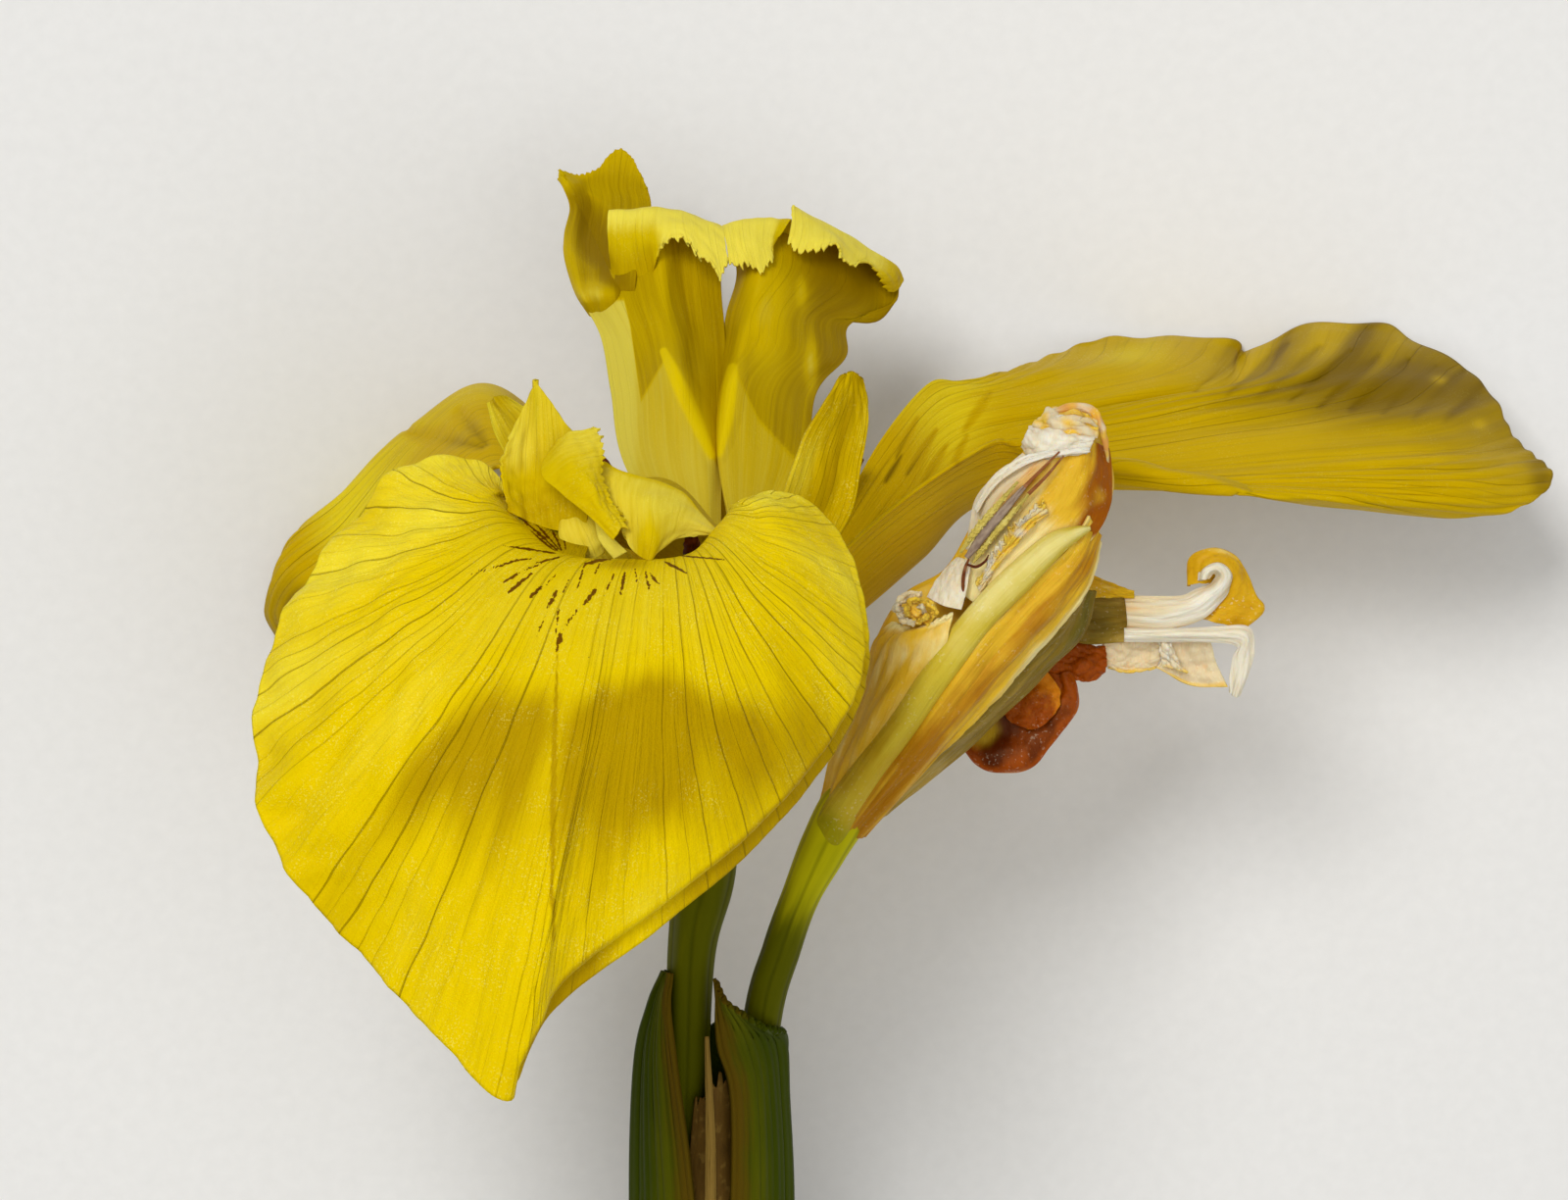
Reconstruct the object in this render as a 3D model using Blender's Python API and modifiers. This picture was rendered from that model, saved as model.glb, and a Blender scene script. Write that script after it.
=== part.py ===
"""A cut stem of yellow water iris, lying on its back: one open flower and one withered flower above their spathes.

Frame: +Z up from the surface that the flower lies on, +Y along the stem from the cut end to the flower, +X to the
right of someone who looks down on it. The origin is under the middle of the object, on the surface.
Shapes are given in millimetres from the flower's centre, which HEAD places in the frame.
"""

import math

import bmesh
import bpy
import numpy as np
from mathutils import Vector

MM = 0.001

# Driving dimensions, in millimetres.
HEAD = (-8.3, 42.3, 35.0)        # the flower's centre above the surface
TUBE_TOP = (-4.5, -6.6, -1.1)    # where the petals leave the perianth tube
LEAN = math.radians(17)          # the flower's axis leans up, out of the surface
PETAL = 0.5                      # thickness of petals and style arms
SPATHE = 0.6                     # thickness of the green spathes
SEAT = 0.4                       # gap between a piece and what it grows from
RING = 2.7                       # radius of the ring of petal bases
COLUMN_RADIUS, COLUMN_HEIGHT = 1.1, 8.5

# Where each whorl points, seen down the flower's axis: 90 degrees is up from the surface.
FALL_FRONT, FALL_LEFT, FALL_RIGHT = 103.0, 223.0, -17.0
STANDARD_RIGHT, STANDARD_LEFT, STANDARD_BACK = 43.0, 163.0, -77.0

MATERIALS = {
    "petal": ((0.86, 0.66, 0.03), 0.50),
    "style": ((0.84, 0.70, 0.12), 0.45),
    "anther": ((0.22, 0.06, 0.03), 0.60),
    "green": ((0.16, 0.22, 0.04), 0.45),
    "spathe": ((0.13, 0.19, 0.03), 0.50),
    "dry_spathe": ((0.30, 0.16, 0.05), 0.80),
    "withered": ((0.62, 0.34, 0.07), 0.35),
    "withered_pale": ((0.80, 0.72, 0.58), 0.40),
    "withered_claw": ((0.60, 0.58, 0.16), 0.35),
    "withered_orange": ((0.55, 0.16, 0.02), 0.40),
}


def spline(points, t):
    """Cubic Hermite curve through points at even parameters, with Catmull-Rom tangents. t runs from 0 to 1."""
    p = np.asarray(points, float)
    tangent = np.gradient(p, axis=0)
    at = np.clip(np.asarray(t, float), 0, 1) * (len(p) - 1)
    i = np.minimum(at.astype(int), len(p) - 2)
    f = (at - i)[:, None]
    return (
        (2 * f**3 - 3 * f**2 + 1) * p[i]
        + (f**3 - 2 * f**2 + f) * tangent[i]
        + (3 * f**2 - 2 * f**3) * p[i + 1]
        + (f**3 - f**2) * tangent[i + 1]
    )


def loft(rows, across, along):
    """Points of a sheet through rows, as an array of along x across points: each row is a spline from one edge of
    the sheet to the other, and splines through the rows run from its base to its margin."""
    t = np.linspace(0, 1, across)
    lines = np.stack([spline(row, t) for row in rows])
    return np.stack([spline(lines[:, j], np.linspace(0, 1, along)) for j in range(across)], axis=1)


def between(near, far, share, lift, across=13):
    """A row between two rows, at this share of the way from near to far and raised by lift at its middle and by
    little of it at its edges."""
    t = np.linspace(0, 1, across)
    swell = 0.15 + 0.85 * np.sin(math.pi * t)
    return (1 - share) * spline(near, t) + share * spline(far, t) + swell[:, None] * np.asarray(lift, float)


def on_axis(azimuth, radius, rise):
    """A point beside the flower's axis: rise along it from the tube's top, and radius out from it."""
    turn = math.radians(azimuth)
    up = np.array([0, math.cos(LEAN), math.sin(LEAN)])
    out = np.array([1, 0, 0]) * math.cos(turn) + np.array([0, -math.sin(LEAN), math.cos(LEAN)]) * math.sin(turn)
    return np.array(TUBE_TOP) + radius * out + rise * up


def base_row(azimuth, spread, radius=RING, rise=SEAT):
    """The arc that a petal or style arm grows from, from spread degrees after its azimuth to spread before it."""
    return [on_axis(azimuth + turn, radius, rise) for turn in (spread, 0, -spread)]


def arc_row(y, middle, radii, first, last, count=7):
    """Part of an ellipse around the stem at height y, from the first angle to the last, in degrees."""
    angles = np.radians(np.linspace(first, last, count))
    return [(middle[0] + radii[0] * math.cos(a), y, middle[1] + radii[1] * math.sin(a)) for a in angles]


def clear_scene():
    for obj in list(bpy.data.objects):
        bpy.data.objects.remove(obj)


def material(name):
    found = bpy.data.materials.get(name)
    if found:
        return found
    colour, roughness = MATERIALS[name]
    made = bpy.data.materials.new(name)
    made.use_nodes = True
    shader = made.node_tree.nodes["Principled BSDF"]
    shader.inputs["Base Color"].default_value = (*colour, 1)
    shader.inputs["Roughness"].default_value = roughness
    shader.inputs["Metallic"].default_value = 0
    return made


def grid(columns, rows):
    """A bmesh grid, with its vertices sorted row by row."""
    mesh = bmesh.new()
    bmesh.ops.create_grid(mesh, x_segments=columns - 1, y_segments=rows - 1, size=1)
    vertices = sorted(mesh.verts, key=lambda v: (round(v.co.y, 4), round(v.co.x, 4)))
    return mesh, vertices


def add_object(name, mesh, look):
    """Turns a bmesh into an object on the flower's centre."""
    data = bpy.data.meshes.new(name)
    mesh.to_mesh(data)
    mesh.free()
    data.shade_smooth()
    obj = bpy.data.objects.new(name, data)
    obj.data.materials.append(material(look))
    PARTS.objects.link(obj)
    obj.parent = CENTRE
    return obj


def sheet(name, rows, look, across=11, along=9, thickness=PETAL):
    """A petal or leaf: a grid laid on a loft through the rows, thickened about its middle."""
    points = loft(rows, across, along).reshape(-1, 3) * MM
    mesh, vertices = grid(across, along)
    for vertex, point in zip(vertices, points):
        vertex.co = point
    obj = add_object(name, mesh, look)
    wall = obj.modifiers.new("thickness", "SOLIDIFY")
    wall.thickness = thickness * MM
    wall.offset = 0
    return obj


def stalk(name, path, sizes, look, sides=10, rings=10):
    """A closed stalk along a path: a grid rolled into a tube, with oval sections. sizes holds (half width, half
    depth) for each point of the path; the width lies across the path and the surface's +Z, the depth along both."""
    s = np.linspace(0, 1, rings)
    middle = spline(path, s)
    half = spline([(*size, 0) for size in sizes], s)
    run = np.gradient(middle, axis=0)
    run /= np.linalg.norm(run, axis=1)[:, None]
    wide = np.cross(run, (0, 0, 1))
    wide /= np.linalg.norm(wide, axis=1)[:, None]
    deep = np.cross(wide, run)
    turn = np.linspace(0, 2 * math.pi, sides + 1)
    points = (
        middle[:, None]
        + (half[:, 0, None] * np.cos(turn))[..., None] * wide[:, None]
        + (half[:, 1, None] * np.sin(turn))[..., None] * deep[:, None]
    ).reshape(-1, 3) * MM
    mesh, vertices = grid(sides + 1, rings)
    for vertex, point in zip(vertices, points):
        vertex.co = point
    bmesh.ops.remove_doubles(mesh, verts=mesh.verts, dist=1e-6)
    bmesh.ops.holes_fill(mesh, edges=[e for e in mesh.edges if e.is_boundary], sides=0)
    bmesh.ops.recalc_face_normals(mesh, faces=mesh.faces)
    return add_object(name, mesh, look)


def stems():
    """The cut stem, the two flower stalks that leave its top, and the perianth tube above the ovary."""
    stalk(
        "stem",
        [(-5.5, -118, -31.2), (-5.4, -98, -28.8), (-5.3, -80, -24.4), (-5.3, -62, -18.9)],
        [(4.4, 3.8), (4.3, 3.8), (4.1, 3.7), (3.4, 2.9)],
        "green", sides=14,
    )
    stalk(
        "flower_stalk",
        [(-7, -61.6, -18.8), (-7.2, -45, -13.6), (-6.8, -27, -7.2), (-5.8, -20, -5.2), (-5, -13.5, -3.2)],
        [(1.5, 1.5), (1.5, 1.5), (1.55, 1.5), (2.1, 2.0), (2.0, 2.0)],
        "green",
    )
    stalk(
        "perianth_tube",
        [(-4.96, -13.15, -3.1), (-4.75, -10, -2.15), (-4.5, -6.85, -1.2)],
        [(1.9, 1.9), (2.1, 2.1), (3.1, 3.1)],
        "petal", sides=12, rings=5,
    )
    stalk(
        "withered_stalk",
        [(-3.6, -61.6, -18.8), (-2.9, -45, -13.6), (-1.5, -30, -7.6), (0.3, -23.3, -5.8), (3.2, -16.5, -4.2)],
        [(1.3, 1.3), (1.3, 1.3), (1.2, 1.2), (1.4, 1.4), (1.8, 1.8)],
        "green",
    )
    stalk(
        "style_column",
        [on_axis(0, 0, SEAT), on_axis(0, 0, COLUMN_HEIGHT / 2), on_axis(0, 0, COLUMN_HEIGHT)],
        [(COLUMN_RADIUS, COLUMN_RADIUS), (COLUMN_RADIUS, COLUMN_RADIUS), (1.9, 1.9)],
        "style", sides=9, rings=5,
    )


def spathes():
    """Two keeled green bracts that sheathe the stalks, and the papery strip in the slit between them."""
    sheet(
        "spathe_left",
        [
            arc_row(-78, (-5.3, -23.7), (5.0, 4.7), 100, 262),
            arc_row(-60, (-5.3, -18.3), (5.4, 4.7), 98, 262),
            arc_row(-45, (-5.3, -13.6), (5.7, 4.6), 98, 262),
            arc_row(-34, (-6.0, -9.5), (4.6, 4.0), 112, 250),
            arc_row(-27.4, (-7.2, -6.6), (2.2, 2.6), 142, 180),
        ],
        "spathe", across=9, along=8, thickness=SPATHE,
    )
    sheet(
        "spathe_right",
        [
            arc_row(-78, (-5.3, -23.7), (5.0, 4.7), 80, -82),
            arc_row(-60, (-5.3, -18.3), (5.4, 4.7), 82, -82),
            arc_row(-45, (-5.3, -13.6), (5.7, 4.6), 82, -82),
            arc_row(-36, (-4.9, -10.6), (5.2, 4.4), 78, -84),
            [(-5.0, -27.4, -4.6), (-3.6, -28.6, -4.2), (-1.6, -29.9, -4.7), (0.3, -30.6, -6.4), (0.5, -30.8, -9),
             (-1.2, -31.2, -11.9)],
        ],
        "spathe", across=9, along=8, thickness=SPATHE,
    )
    sheet(
        "spathe_inner",
        [
            [(-6.4, -68, -17.1), (-5.3, -68, -16.95), (-4.2, -68, -17.1)],
            [(-6.8, -58, -14.4), (-5.3, -58, -14.1), (-3.9, -58, -14.4)],
            [(-6.6, -45, -10.4), (-5.2, -45, -10.1), (-3.8, -45, -10.4)],
            [(-5.7, -33, -6.9), (-5.1, -33, -6.6), (-4.5, -33, -6.9)],
        ],
        "dry_spathe", across=3, along=7, thickness=0.3,
    )


# The falls' throats and margins, from the left or near edge round the tip to the other edge.
FRONT_THROAT = [
    (-19.5, 7, 15.5), (-18, 5, 17.5), (-15.5, 3, 19.5), (-11, 2.5, 21), (-6.5, 3, 19), (-4.5, 5, 16), (-3.5, 6, 15),
]
FRONT_MARGIN = [
    (-19.3, 7.6, 15.3), (-21.5, 9, 14.5), (-25.5, 8, 15.5), (-30.5, 2.5, 18), (-34, -2.5, 20), (-35.5, -8.5, 22),
    (-35, -14.5, 24), (-32, -20, 26), (-27.5, -24.5, 28), (-23, -29, 31), (-18, -33, 33), (-14.5, -27, 30.5),
    (-8, -22, 28), (-2, -17, 24.5), (2.5, -12, 21), (5.5, -7, 18.5), (6, -2.5, 16.5), (4.5, 3, 14.5),
    (2, 6.5, 13.5), (-1, 7.5, 13.5), (-3.3, 6.4, 14.6),
]
LEFT_MARGIN = [
    (-23.5, 8, -10), (-30.5, 0, -14), (-34.5, -8, -19), (-36, -15, -25), (-39, -12.5, -30.5), (-40.3, -6, -33.5),
    (-38.2, 0.5, -34.7), (-32.5, 6.2, -34.8), (-26, 10.6, -34), (-20.5, 12.6, -30.5),
]
RIGHT_MARGIN = [
    (20, 12, -9), (24.5, 9.5, -10), (32.5, 7.5, -11), (41, 6.5, -13), (52.5, 6.5, -16), (57, 9, -20),
    (54.5, 13.5, -26), (50.5, 19.3, -31), (46.5, 21.3, -33.7), (39.5, 20.5, -34.75), (34.5, 19.3, -34.9),
    (28.5, 19.7, -34), (24, 18.5, -31), (17, 16.5, -23),
]


def falls():
    """The three falls: each haft rises from the tube as a channel and turns over its throat into the blade."""
    sheet(
        "fall_front",
        [
            base_row(FALL_FRONT, 20),
            [(-13, 0.5, 9), (-8, -3, 11.5), (-3.5, 0.5, 9.5)],
            FRONT_THROAT,
            between(FRONT_THROAT, FRONT_MARGIN, 0.35, (0, 0.5, 7)),
            between(FRONT_THROAT, FRONT_MARGIN, 0.7, (0, 0, 5)),
            FRONT_MARGIN,
        ],
        "petal", across=23, along=13,
    )
    throat = [(-20, 9.5, -12), (-21.5, 13.5, -20), (-17, 12.5, -26)]
    sheet(
        "fall_left",
        [
            base_row(FALL_LEFT, -20),
            [(-12.5, 3.5, -5), (-12, 1, -9.5), (-9, 4, -12.5)],
            throat,
            between(throat, LEFT_MARGIN, 0.4, (-3, 4.5, -1)),
            between(throat, LEFT_MARGIN, 0.75, (-3, 4, 0)),
            LEFT_MARGIN,
        ],
        "petal", across=13, along=11,
    )
    throat = [(14.5, 11.2, -7), (16.5, 7.8, -12), (14, 11, -17), (10.6, 16, -18.5)]
    sheet(
        "fall_right",
        [
            base_row(FALL_RIGHT, 20),
            [(3, 2, -1.4), (4.4, -1.6, -5), (3.4, 5, -8.5)],
            [(8.5, 7.2, -3.6), (10, 3.2, -9), (7, 11.6, -13.5)],
            throat,
            between(throat, RIGHT_MARGIN, 0.35, (0, 1.5, 1)),
            between(throat, RIGHT_MARGIN, 0.7, (0, 2.5, 1)),
            RIGHT_MARGIN,
        ],
        "petal", across=17, along=13,
    )


def standards():
    """The three small upright standards between the falls."""
    sheet(
        "standard_right",
        [
            base_row(STANDARD_RIGHT, 18),
            [(-2.6, -0.5, 4.3), (-1.2, -0.9, 3.6), (0.1, -1, 3)],
            [(0, 7.5, 7.5), (2.3, 6.6, 6.2), (4.4, 5.5, 6)],
            [(2, 12, 8.5), (4, 11.5, 7.2), (5.6, 11, 7)],
            [(4.2, 15.5, 8.4), (4.9, 15.8, 8), (5.5, 15.2, 7.7)],
        ],
        "petal", across=5, along=9,
    )
    sheet(
        "standard_left",
        [
            base_row(STANDARD_LEFT, 18),
            [(-11, -1, 0.5), (-10.5, -0.5, 1.5), (-9.5, 0, 2.4)],
            [(-17, 6, -1.5), (-15.5, 7, -0.5), (-13.5, 8, 0.8)],
            [(-20.5, 11.5, -4), (-19, 12, -3), (-17, 12.6, -2)],
            [(-21.3, 14.2, -5), (-20.8, 14.6, -4.6), (-20.1, 14.7, -4.2)],
        ],
        "petal", across=5, along=9,
    )
    sheet(
        "standard_back",
        [
            base_row(STANDARD_BACK, 18),
            [(-2.6, 1.5, -6), (-4, 1.5, -6.6), (-5.4, 1.5, -6)],
            [(-2.2, 9, -10.5), (-4.6, 9, -11.2), (-7, 9, -10.5)],
            [(-2.6, 15, -14), (-4.8, 15, -14.4), (-7, 15, -14)],
            [(-4.2, 18.8, -15.5), (-4.9, 19, -15.6), (-5.6, 18.8, -15.5)],
        ],
        "petal", across=5, along=9,
    )


def style_arms():
    """The three petal-like style arms. Each has a keel above and ends in two crest lobes with a cleft between."""
    rise = COLUMN_HEIGHT + SEAT
    sheet(
        "style_arm_front",
        [
            base_row(FALL_FRONT, 42, radius=1.5, rise=rise),
            [(-12, 4, 8.5), (-8, 8, 7.5), (-4.2, 4.5, 8.5)],
            [(-17, 6, 16), (-14.5, 8, 15), (-11, 8, 15), (-8.5, 7, 15), (-5.5, 4.8, 14.5)],
            [(-19, 7.5, 18.3), (-17.5, 11, 17), (-15.5, 10, 17), (-12.2, 8.5, 17.3), (-11, 7.5, 18),
             (-9, 6.5, 18), (-6.5, 5, 16.5)],
            [(-19.3, 8.5, 18.8), (-18.6, 13, 17), (-17, 15, 16), (-14, 11.5, 17.5), (-12.3, 10, 18.3),
             (-11.6, 6.5, 19.3), (-12.5, 7.8, 19.8), (-11, 4.6, 20), (-9, 4.2, 19.5), (-6.5, 4.6, 17.5)],
        ],
        "style", across=15, along=9,
    )
    sheet(
        "style_arm_left",
        [
            base_row(FALL_LEFT, -42, radius=1.5, rise=rise),
            [(-11.3, 9.3, -5), (-8.6, 9.6, -3.5), (-5.9, 9.8, -2.6), (-5.5, 10, -4.5)],
            [(-12.6, 15.2, -8.5), (-10.5, 15.3, -7), (-7.6, 15.4, -5), (-5.5, 15.3, -9)],
            [(-14.3, 22.6, -12.5), (-12.4, 22.4, -11.5), (-10.5, 22.2, -10.5), (-7.7, 22.3, -11), (-5.4, 22, -12.5)],
            [(-15.6, 25.5, -15.5), (-14.5, 28, -17), (-12.3, 28.6, -16.8), (-11, 26.5, -15), (-10.5, 24.5, -12.3),
             (-11.8, 27.5, -12.4), (-9.6, 28.6, -12.8), (-7.2, 27.8, -12.8), (-5.3, 26.2, -12.6)],
            [(-16.3, 27, -17.5), (-17, 31.6, -20), (-12.5, 33.6, -20.3), (-10.2, 30, -17.5), (-10.2, 25.2, -12.2),
             (-12.6, 28.3, -11.6), (-8.6, 25.4, -9.8), (-6.5, 25.4, -9.8), (-5.2, 23.7, -10.3)],
        ],
        "style", across=17, along=11,
    )
    sheet(
        "style_arm_right",
        [
            base_row(FALL_RIGHT, 42, radius=1.5, rise=rise),
            [(-4.7, 10, -4.5), (-4.5, 9.8, -2.7), (-2, 9.4, -3.4), (1.2, 9.2, -5)],
            [(-4.6, 15.2, -9), (-3.6, 15.4, -5), (-0.5, 15.2, -7), (3, 15.2, -10)],
            [(-4.4, 21, -12.2), (-2.4, 21.2, -10), (-1, 21, -10), (1.8, 20.8, -12), (4.8, 20.2, -15)],
            [(-4.2, 26, -13), (-2.9, 27.6, -13.5), (-1.2, 27.9, -14), (-0.3, 26, -13.2), (0, 24.5, -12.5),
             (0.9, 28.3, -15.5), (3, 27.8, -17), (6.6, 26, -19), (8.2, 24.3, -19.5)],
            [(-4.1, 24.3, -10.6), (-3, 24.2, -10.7), (-1.6, 24.4, -11.2), (-0.7, 25.6, -12), (0.1, 25, -12.2),
             (1, 26, -13.6), (3.4, 26, -14.6), (6, 25, -16.6), (7.6, 22.8, -18)],
        ],
        "style", across=17, along=11,
    )


def stamens():
    """A filament and its brown anther under each style arm, and the stigma lip on the arm's underside."""
    anthers = {
        "front": (FALL_FRONT, [(-5.6, -1.6, 5), (-6.6, 1.6, 9.5), (-7.2, 3, 13.6)]),
        "left": (FALL_LEFT, [(-8.4, 1.5, -5.5), (-11, 6.5, -8.8), (-13.8, 10.5, -11.8)]),
        "right": (FALL_RIGHT, [(0, 0.5, -4.5), (2.8, 6, -7), (5.4, 10.4, -9.2)]),
    }
    for place, (azimuth, anther) in anthers.items():
        stalk(
            "filament_" + place,
            [on_axis(azimuth, 1.75, SEAT), on_axis(azimuth, 1.85, 2.2), np.array(anther[0]) * 0.93
             + on_axis(azimuth, 1.85, 2.2) * 0.07],
            [(0.3, 0.3)] * 3,
            "style", sides=6, rings=5,
        )
        stalk("anther_" + place, anther, [(0.5, 0.4), (0.8, 0.6), (0.4, 0.4)], "anther", sides=6, rings=6)


def withered_flower():
    """The spent flower: its collapsed petals are wrapped in a soft bundle, and one fall has curled away."""
    stalk(
        "withered_bundle",
        [(3.6, -15.9, -4), (7.5, -9, -2), (12, -1.8, -1), (16.5, 4.8, -1), (20.2, 10.2, -0.6), (21.6, 13.4, -0.5)],
        [(1.9, 1.8), (3.7, 2.6), (4.9, 3.2), (4.6, 3.2), (3.0, 2.4), (1.2, 1.0)],
        "withered", sides=14, rings=14,
    )
    stalk(
        "withered_claw",
        [(5.6, -15.9, -1.5), (8.2, -11.2, 2.1), (12.5, -6, 3.5), (17, -0.6, 3.9), (20.4, 3.6, 4.1), (21.6, 5, 4.1)],
        [(0.8, 0.5), (1.4, 0.8), (1.7, 0.9), (1.6, 0.9), (1.2, 0.7), (0.5, 0.4)],
        "withered_claw", sides=8, rings=12,
    )
    stalk(
        "withered_stamen",
        [(12.6, 0.6, 3.2), (13.6, 3.6, 3.4), (16.6, 7.6, 3.6), (19.2, 10.6, 3)],
        [(0.3, 0.3), (0.8, 0.5), (0.7, 0.5), (0.3, 0.3)],
        "anther", sides=6, rings=8,
    )
    stalk(
        "withered_lip",
        [(8.6, -1.6, 2.4), (9.6, -0.4, 3), (10.8, 0.3, 3.2)],
        [(1.0, 0.7), (1.6, 1.0), (1.0, 0.8)],
        "withered_orange", sides=8, rings=6,
    )
    sheet(
        "withered_crest",
        [
            [(13, 7.8, 0.9), (13.8, 7.6, 2.2), (15, 7.1, 3.2)],
            [(14.2, 9.8, 1), (15.4, 9.9, 2.4), (16.6, 9.6, 3.3)],
            [(16.6, 13, 0.6), (18, 13, 2), (19.4, 12.4, 2.8)],
            [(19.6, 15, 0.6), (20.6, 14.9, 1.2), (21.8, 14.2, 1.4)],
        ],
        "withered_pale", across=5, along=7,
    )
    sheet(
        "withered_fall_pale",
        [
            [(3.6, -13.8, -6.1), (4.4, -14.6, -6.5), (5.4, -15.4, -6.2)],
            [(8.2, -6.6, -5.3), (10, -8, -5.4), (11.8, -9.4, -4.4)],
            [(14.4, 0.6, -5), (16.2, -1.2, -5.1), (18, -3.2, -4.4)],
            [(21.8, 2.4, -5.2), (22.4, -0.6, -6), (22.2, -3.4, -5.6)],
            [(26, 1.2, -5.8), (26, -1.4, -7.4), (25.6, -4, -6.2)],
            [(30, 0.8, -6.6), (30, -1.8, -8.4), (29.4, -5, -6.6)],
            [(33.4, 2, -7), (34.6, -1.4, -8.4), (33.2, -5.8, -7)],
        ],
        "withered_pale", across=7, along=13,
    )
    stalk(
        "withered_curl",
        [(29.6, 1.3, -5.6), (31, 2.4, -4.6), (33.2, 2.3, -4.6), (34.6, 1, -5.2)],
        [(0.5, 0.5), (1.1, 1.0), (1.1, 1.0), (0.5, 0.4)],
        "withered", sides=8, rings=8,
    )
    stalk(
        "withered_fall_orange",
        [(22.2, -4.2, -7.1), (20, -6.4, -6.8), (17.6, -9.3, -6.4), (15.4, -11.8, -6)],
        [(1.6, 0.9), (2.6, 1.4), (2.6, 1.4), (1.2, 0.9)],
        "withered_orange", sides=9, rings=9,
    )


clear_scene()
PARTS = bpy.data.collections.new("cut_iris")
bpy.context.scene.collection.children.link(PARTS)
CENTRE = bpy.data.objects.new("flower_centre", None)
CENTRE.location = Vector(HEAD) * MM
PARTS.objects.link(CENTRE)
stems()
spathes()
falls()
standards()
style_arms()
stamens()
withered_flower()
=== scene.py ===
"""Looks of a cut stem of yellow water iris: an open flower and a withered one, lying on a pale table.

Shapes are worked out in millimetres from the open flower's centre, in the same directions as the frame, and HEAD
gives that centre's place. Every sheet is a loft through a few rows of points, from the row that it grows from to
its margin, so that lines of equal U run the way its veins run, and V runs from its base to its margin.
"""

import math

import bpy
import numpy as np
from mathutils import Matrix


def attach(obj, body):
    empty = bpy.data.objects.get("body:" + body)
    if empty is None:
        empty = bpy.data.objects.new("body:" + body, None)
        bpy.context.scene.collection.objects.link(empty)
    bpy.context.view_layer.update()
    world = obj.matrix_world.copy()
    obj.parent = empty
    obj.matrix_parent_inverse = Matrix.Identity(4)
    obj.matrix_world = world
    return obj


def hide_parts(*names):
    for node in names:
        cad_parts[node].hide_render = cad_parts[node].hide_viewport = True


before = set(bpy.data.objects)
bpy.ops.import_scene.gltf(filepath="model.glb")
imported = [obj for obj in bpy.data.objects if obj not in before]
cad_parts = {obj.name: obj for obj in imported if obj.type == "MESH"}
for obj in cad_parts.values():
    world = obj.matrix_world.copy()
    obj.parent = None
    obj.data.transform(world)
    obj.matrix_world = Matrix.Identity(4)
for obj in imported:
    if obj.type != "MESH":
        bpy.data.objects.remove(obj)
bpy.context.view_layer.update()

MM = 0.001
HEAD = np.array([-8.3, 42.3, 35.0])
LEAN = math.radians(17)
TUBE_TOP = np.array([-4.5, -6.6, -1.1])
SEAT = 0.4
RING = 2.7
COLUMN_HEIGHT = 8.5
FALL_FRONT, FALL_LEFT, FALL_RIGHT = 103.0, 223.0, -17.0
STANDARD_RIGHT, STANDARD_LEFT, STANDARD_BACK = 43.0, 163.0, -77.0


# Walls of the sheets, from green leaves to the thinnest dried film
LEAF_WALL, PETAL_WALL, HUSK_WALL, FOLD_WALL = 0.45, 0.3, 0.25, 0.22
CREST_WALL, TORN_WALL, THREAD_WALL, FILM_WALL = 0.2, 0.18, 0.15, 0.14


# Curves and surfaces

def spline(points, t):
    """Cubic Hermite curve through points at even parameters, with Catmull-Rom tangents. t runs from 0 to 1."""
    p = np.asarray(points, float)
    tangent = np.gradient(p, axis=0)
    at = np.clip(np.asarray(t, float), 0, 1) * (len(p) - 1)
    i = np.minimum(at.astype(int), len(p) - 2)
    f = (at - i)[:, None]
    return (
        (2 * f**3 - 3 * f**2 + 1) * p[i]
        + (f**3 - 2 * f**2 + f) * tangent[i]
        + (3 * f**2 - 2 * f**3) * p[i + 1]
        + (f**3 - f**2) * tangent[i + 1]
    )


def steps(along):
    """Parameters from 0 to 1: evenly spaced where along is a count, or along itself."""
    return np.linspace(0, 1, along) if np.isscalar(along) else np.asarray(along, float)


def loft(rows, across, along):
    """Splines across each row, joined by splines from row to row: an array of along x across points."""
    lines = np.stack([spline(row, np.linspace(0, 1, across)) for row in rows])
    t = steps(along)
    return spline(lines.reshape(len(rows), -1), t).reshape(len(t), across, 3)


def even_row(points, count):
    """Points evenly spaced by length along the spline through some points."""
    line = spline(points, np.linspace(0, 1, 400))
    reach = np.concatenate([[0], np.cumsum(np.linalg.norm(np.diff(line, axis=0), axis=1))])
    at = np.linspace(0, reach[-1], count)
    return np.stack([np.interp(at, reach, line[:, k]) for k in range(3)], 1)


def patch(rows, across, along):
    """A loft whose rows may have unlike numbers of points: each is first spaced evenly by its own length."""
    return loft([even_row(row, across) for row in rows], across, along)


def between(near, far, share, lift, across=25):
    """A row at this share of the way from near to far, raised by lift times 0.15 plus 0.85 of a half sine wave."""
    t = np.linspace(0, 1, across)
    swell = 0.15 + 0.85 * np.sin(math.pi * t)
    return (1 - share) * spline(near, t) + share * spline(far, t) + swell[:, None] * np.asarray(lift, float)


def parameters(points, along=None):
    """V and U of each point of a grid, from 0 to 1."""
    v = np.linspace(0, 1, points.shape[0]) if along is None else steps(along)
    return np.meshgrid(v, np.linspace(0, 1, points.shape[1]), indexing="ij")


def smooth(x, low, high):
    """0 below low, 1 above high, and a smooth step between them."""
    f = np.clip((x - low) / (high - low), 0, 1)
    return f * f * (3 - 2 * f)


def bell(x, middle, width):
    """A bell curve: 1 at the middle, and 1/e at width from it."""
    return np.exp(-(((x - middle) / width) ** 2))


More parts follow.
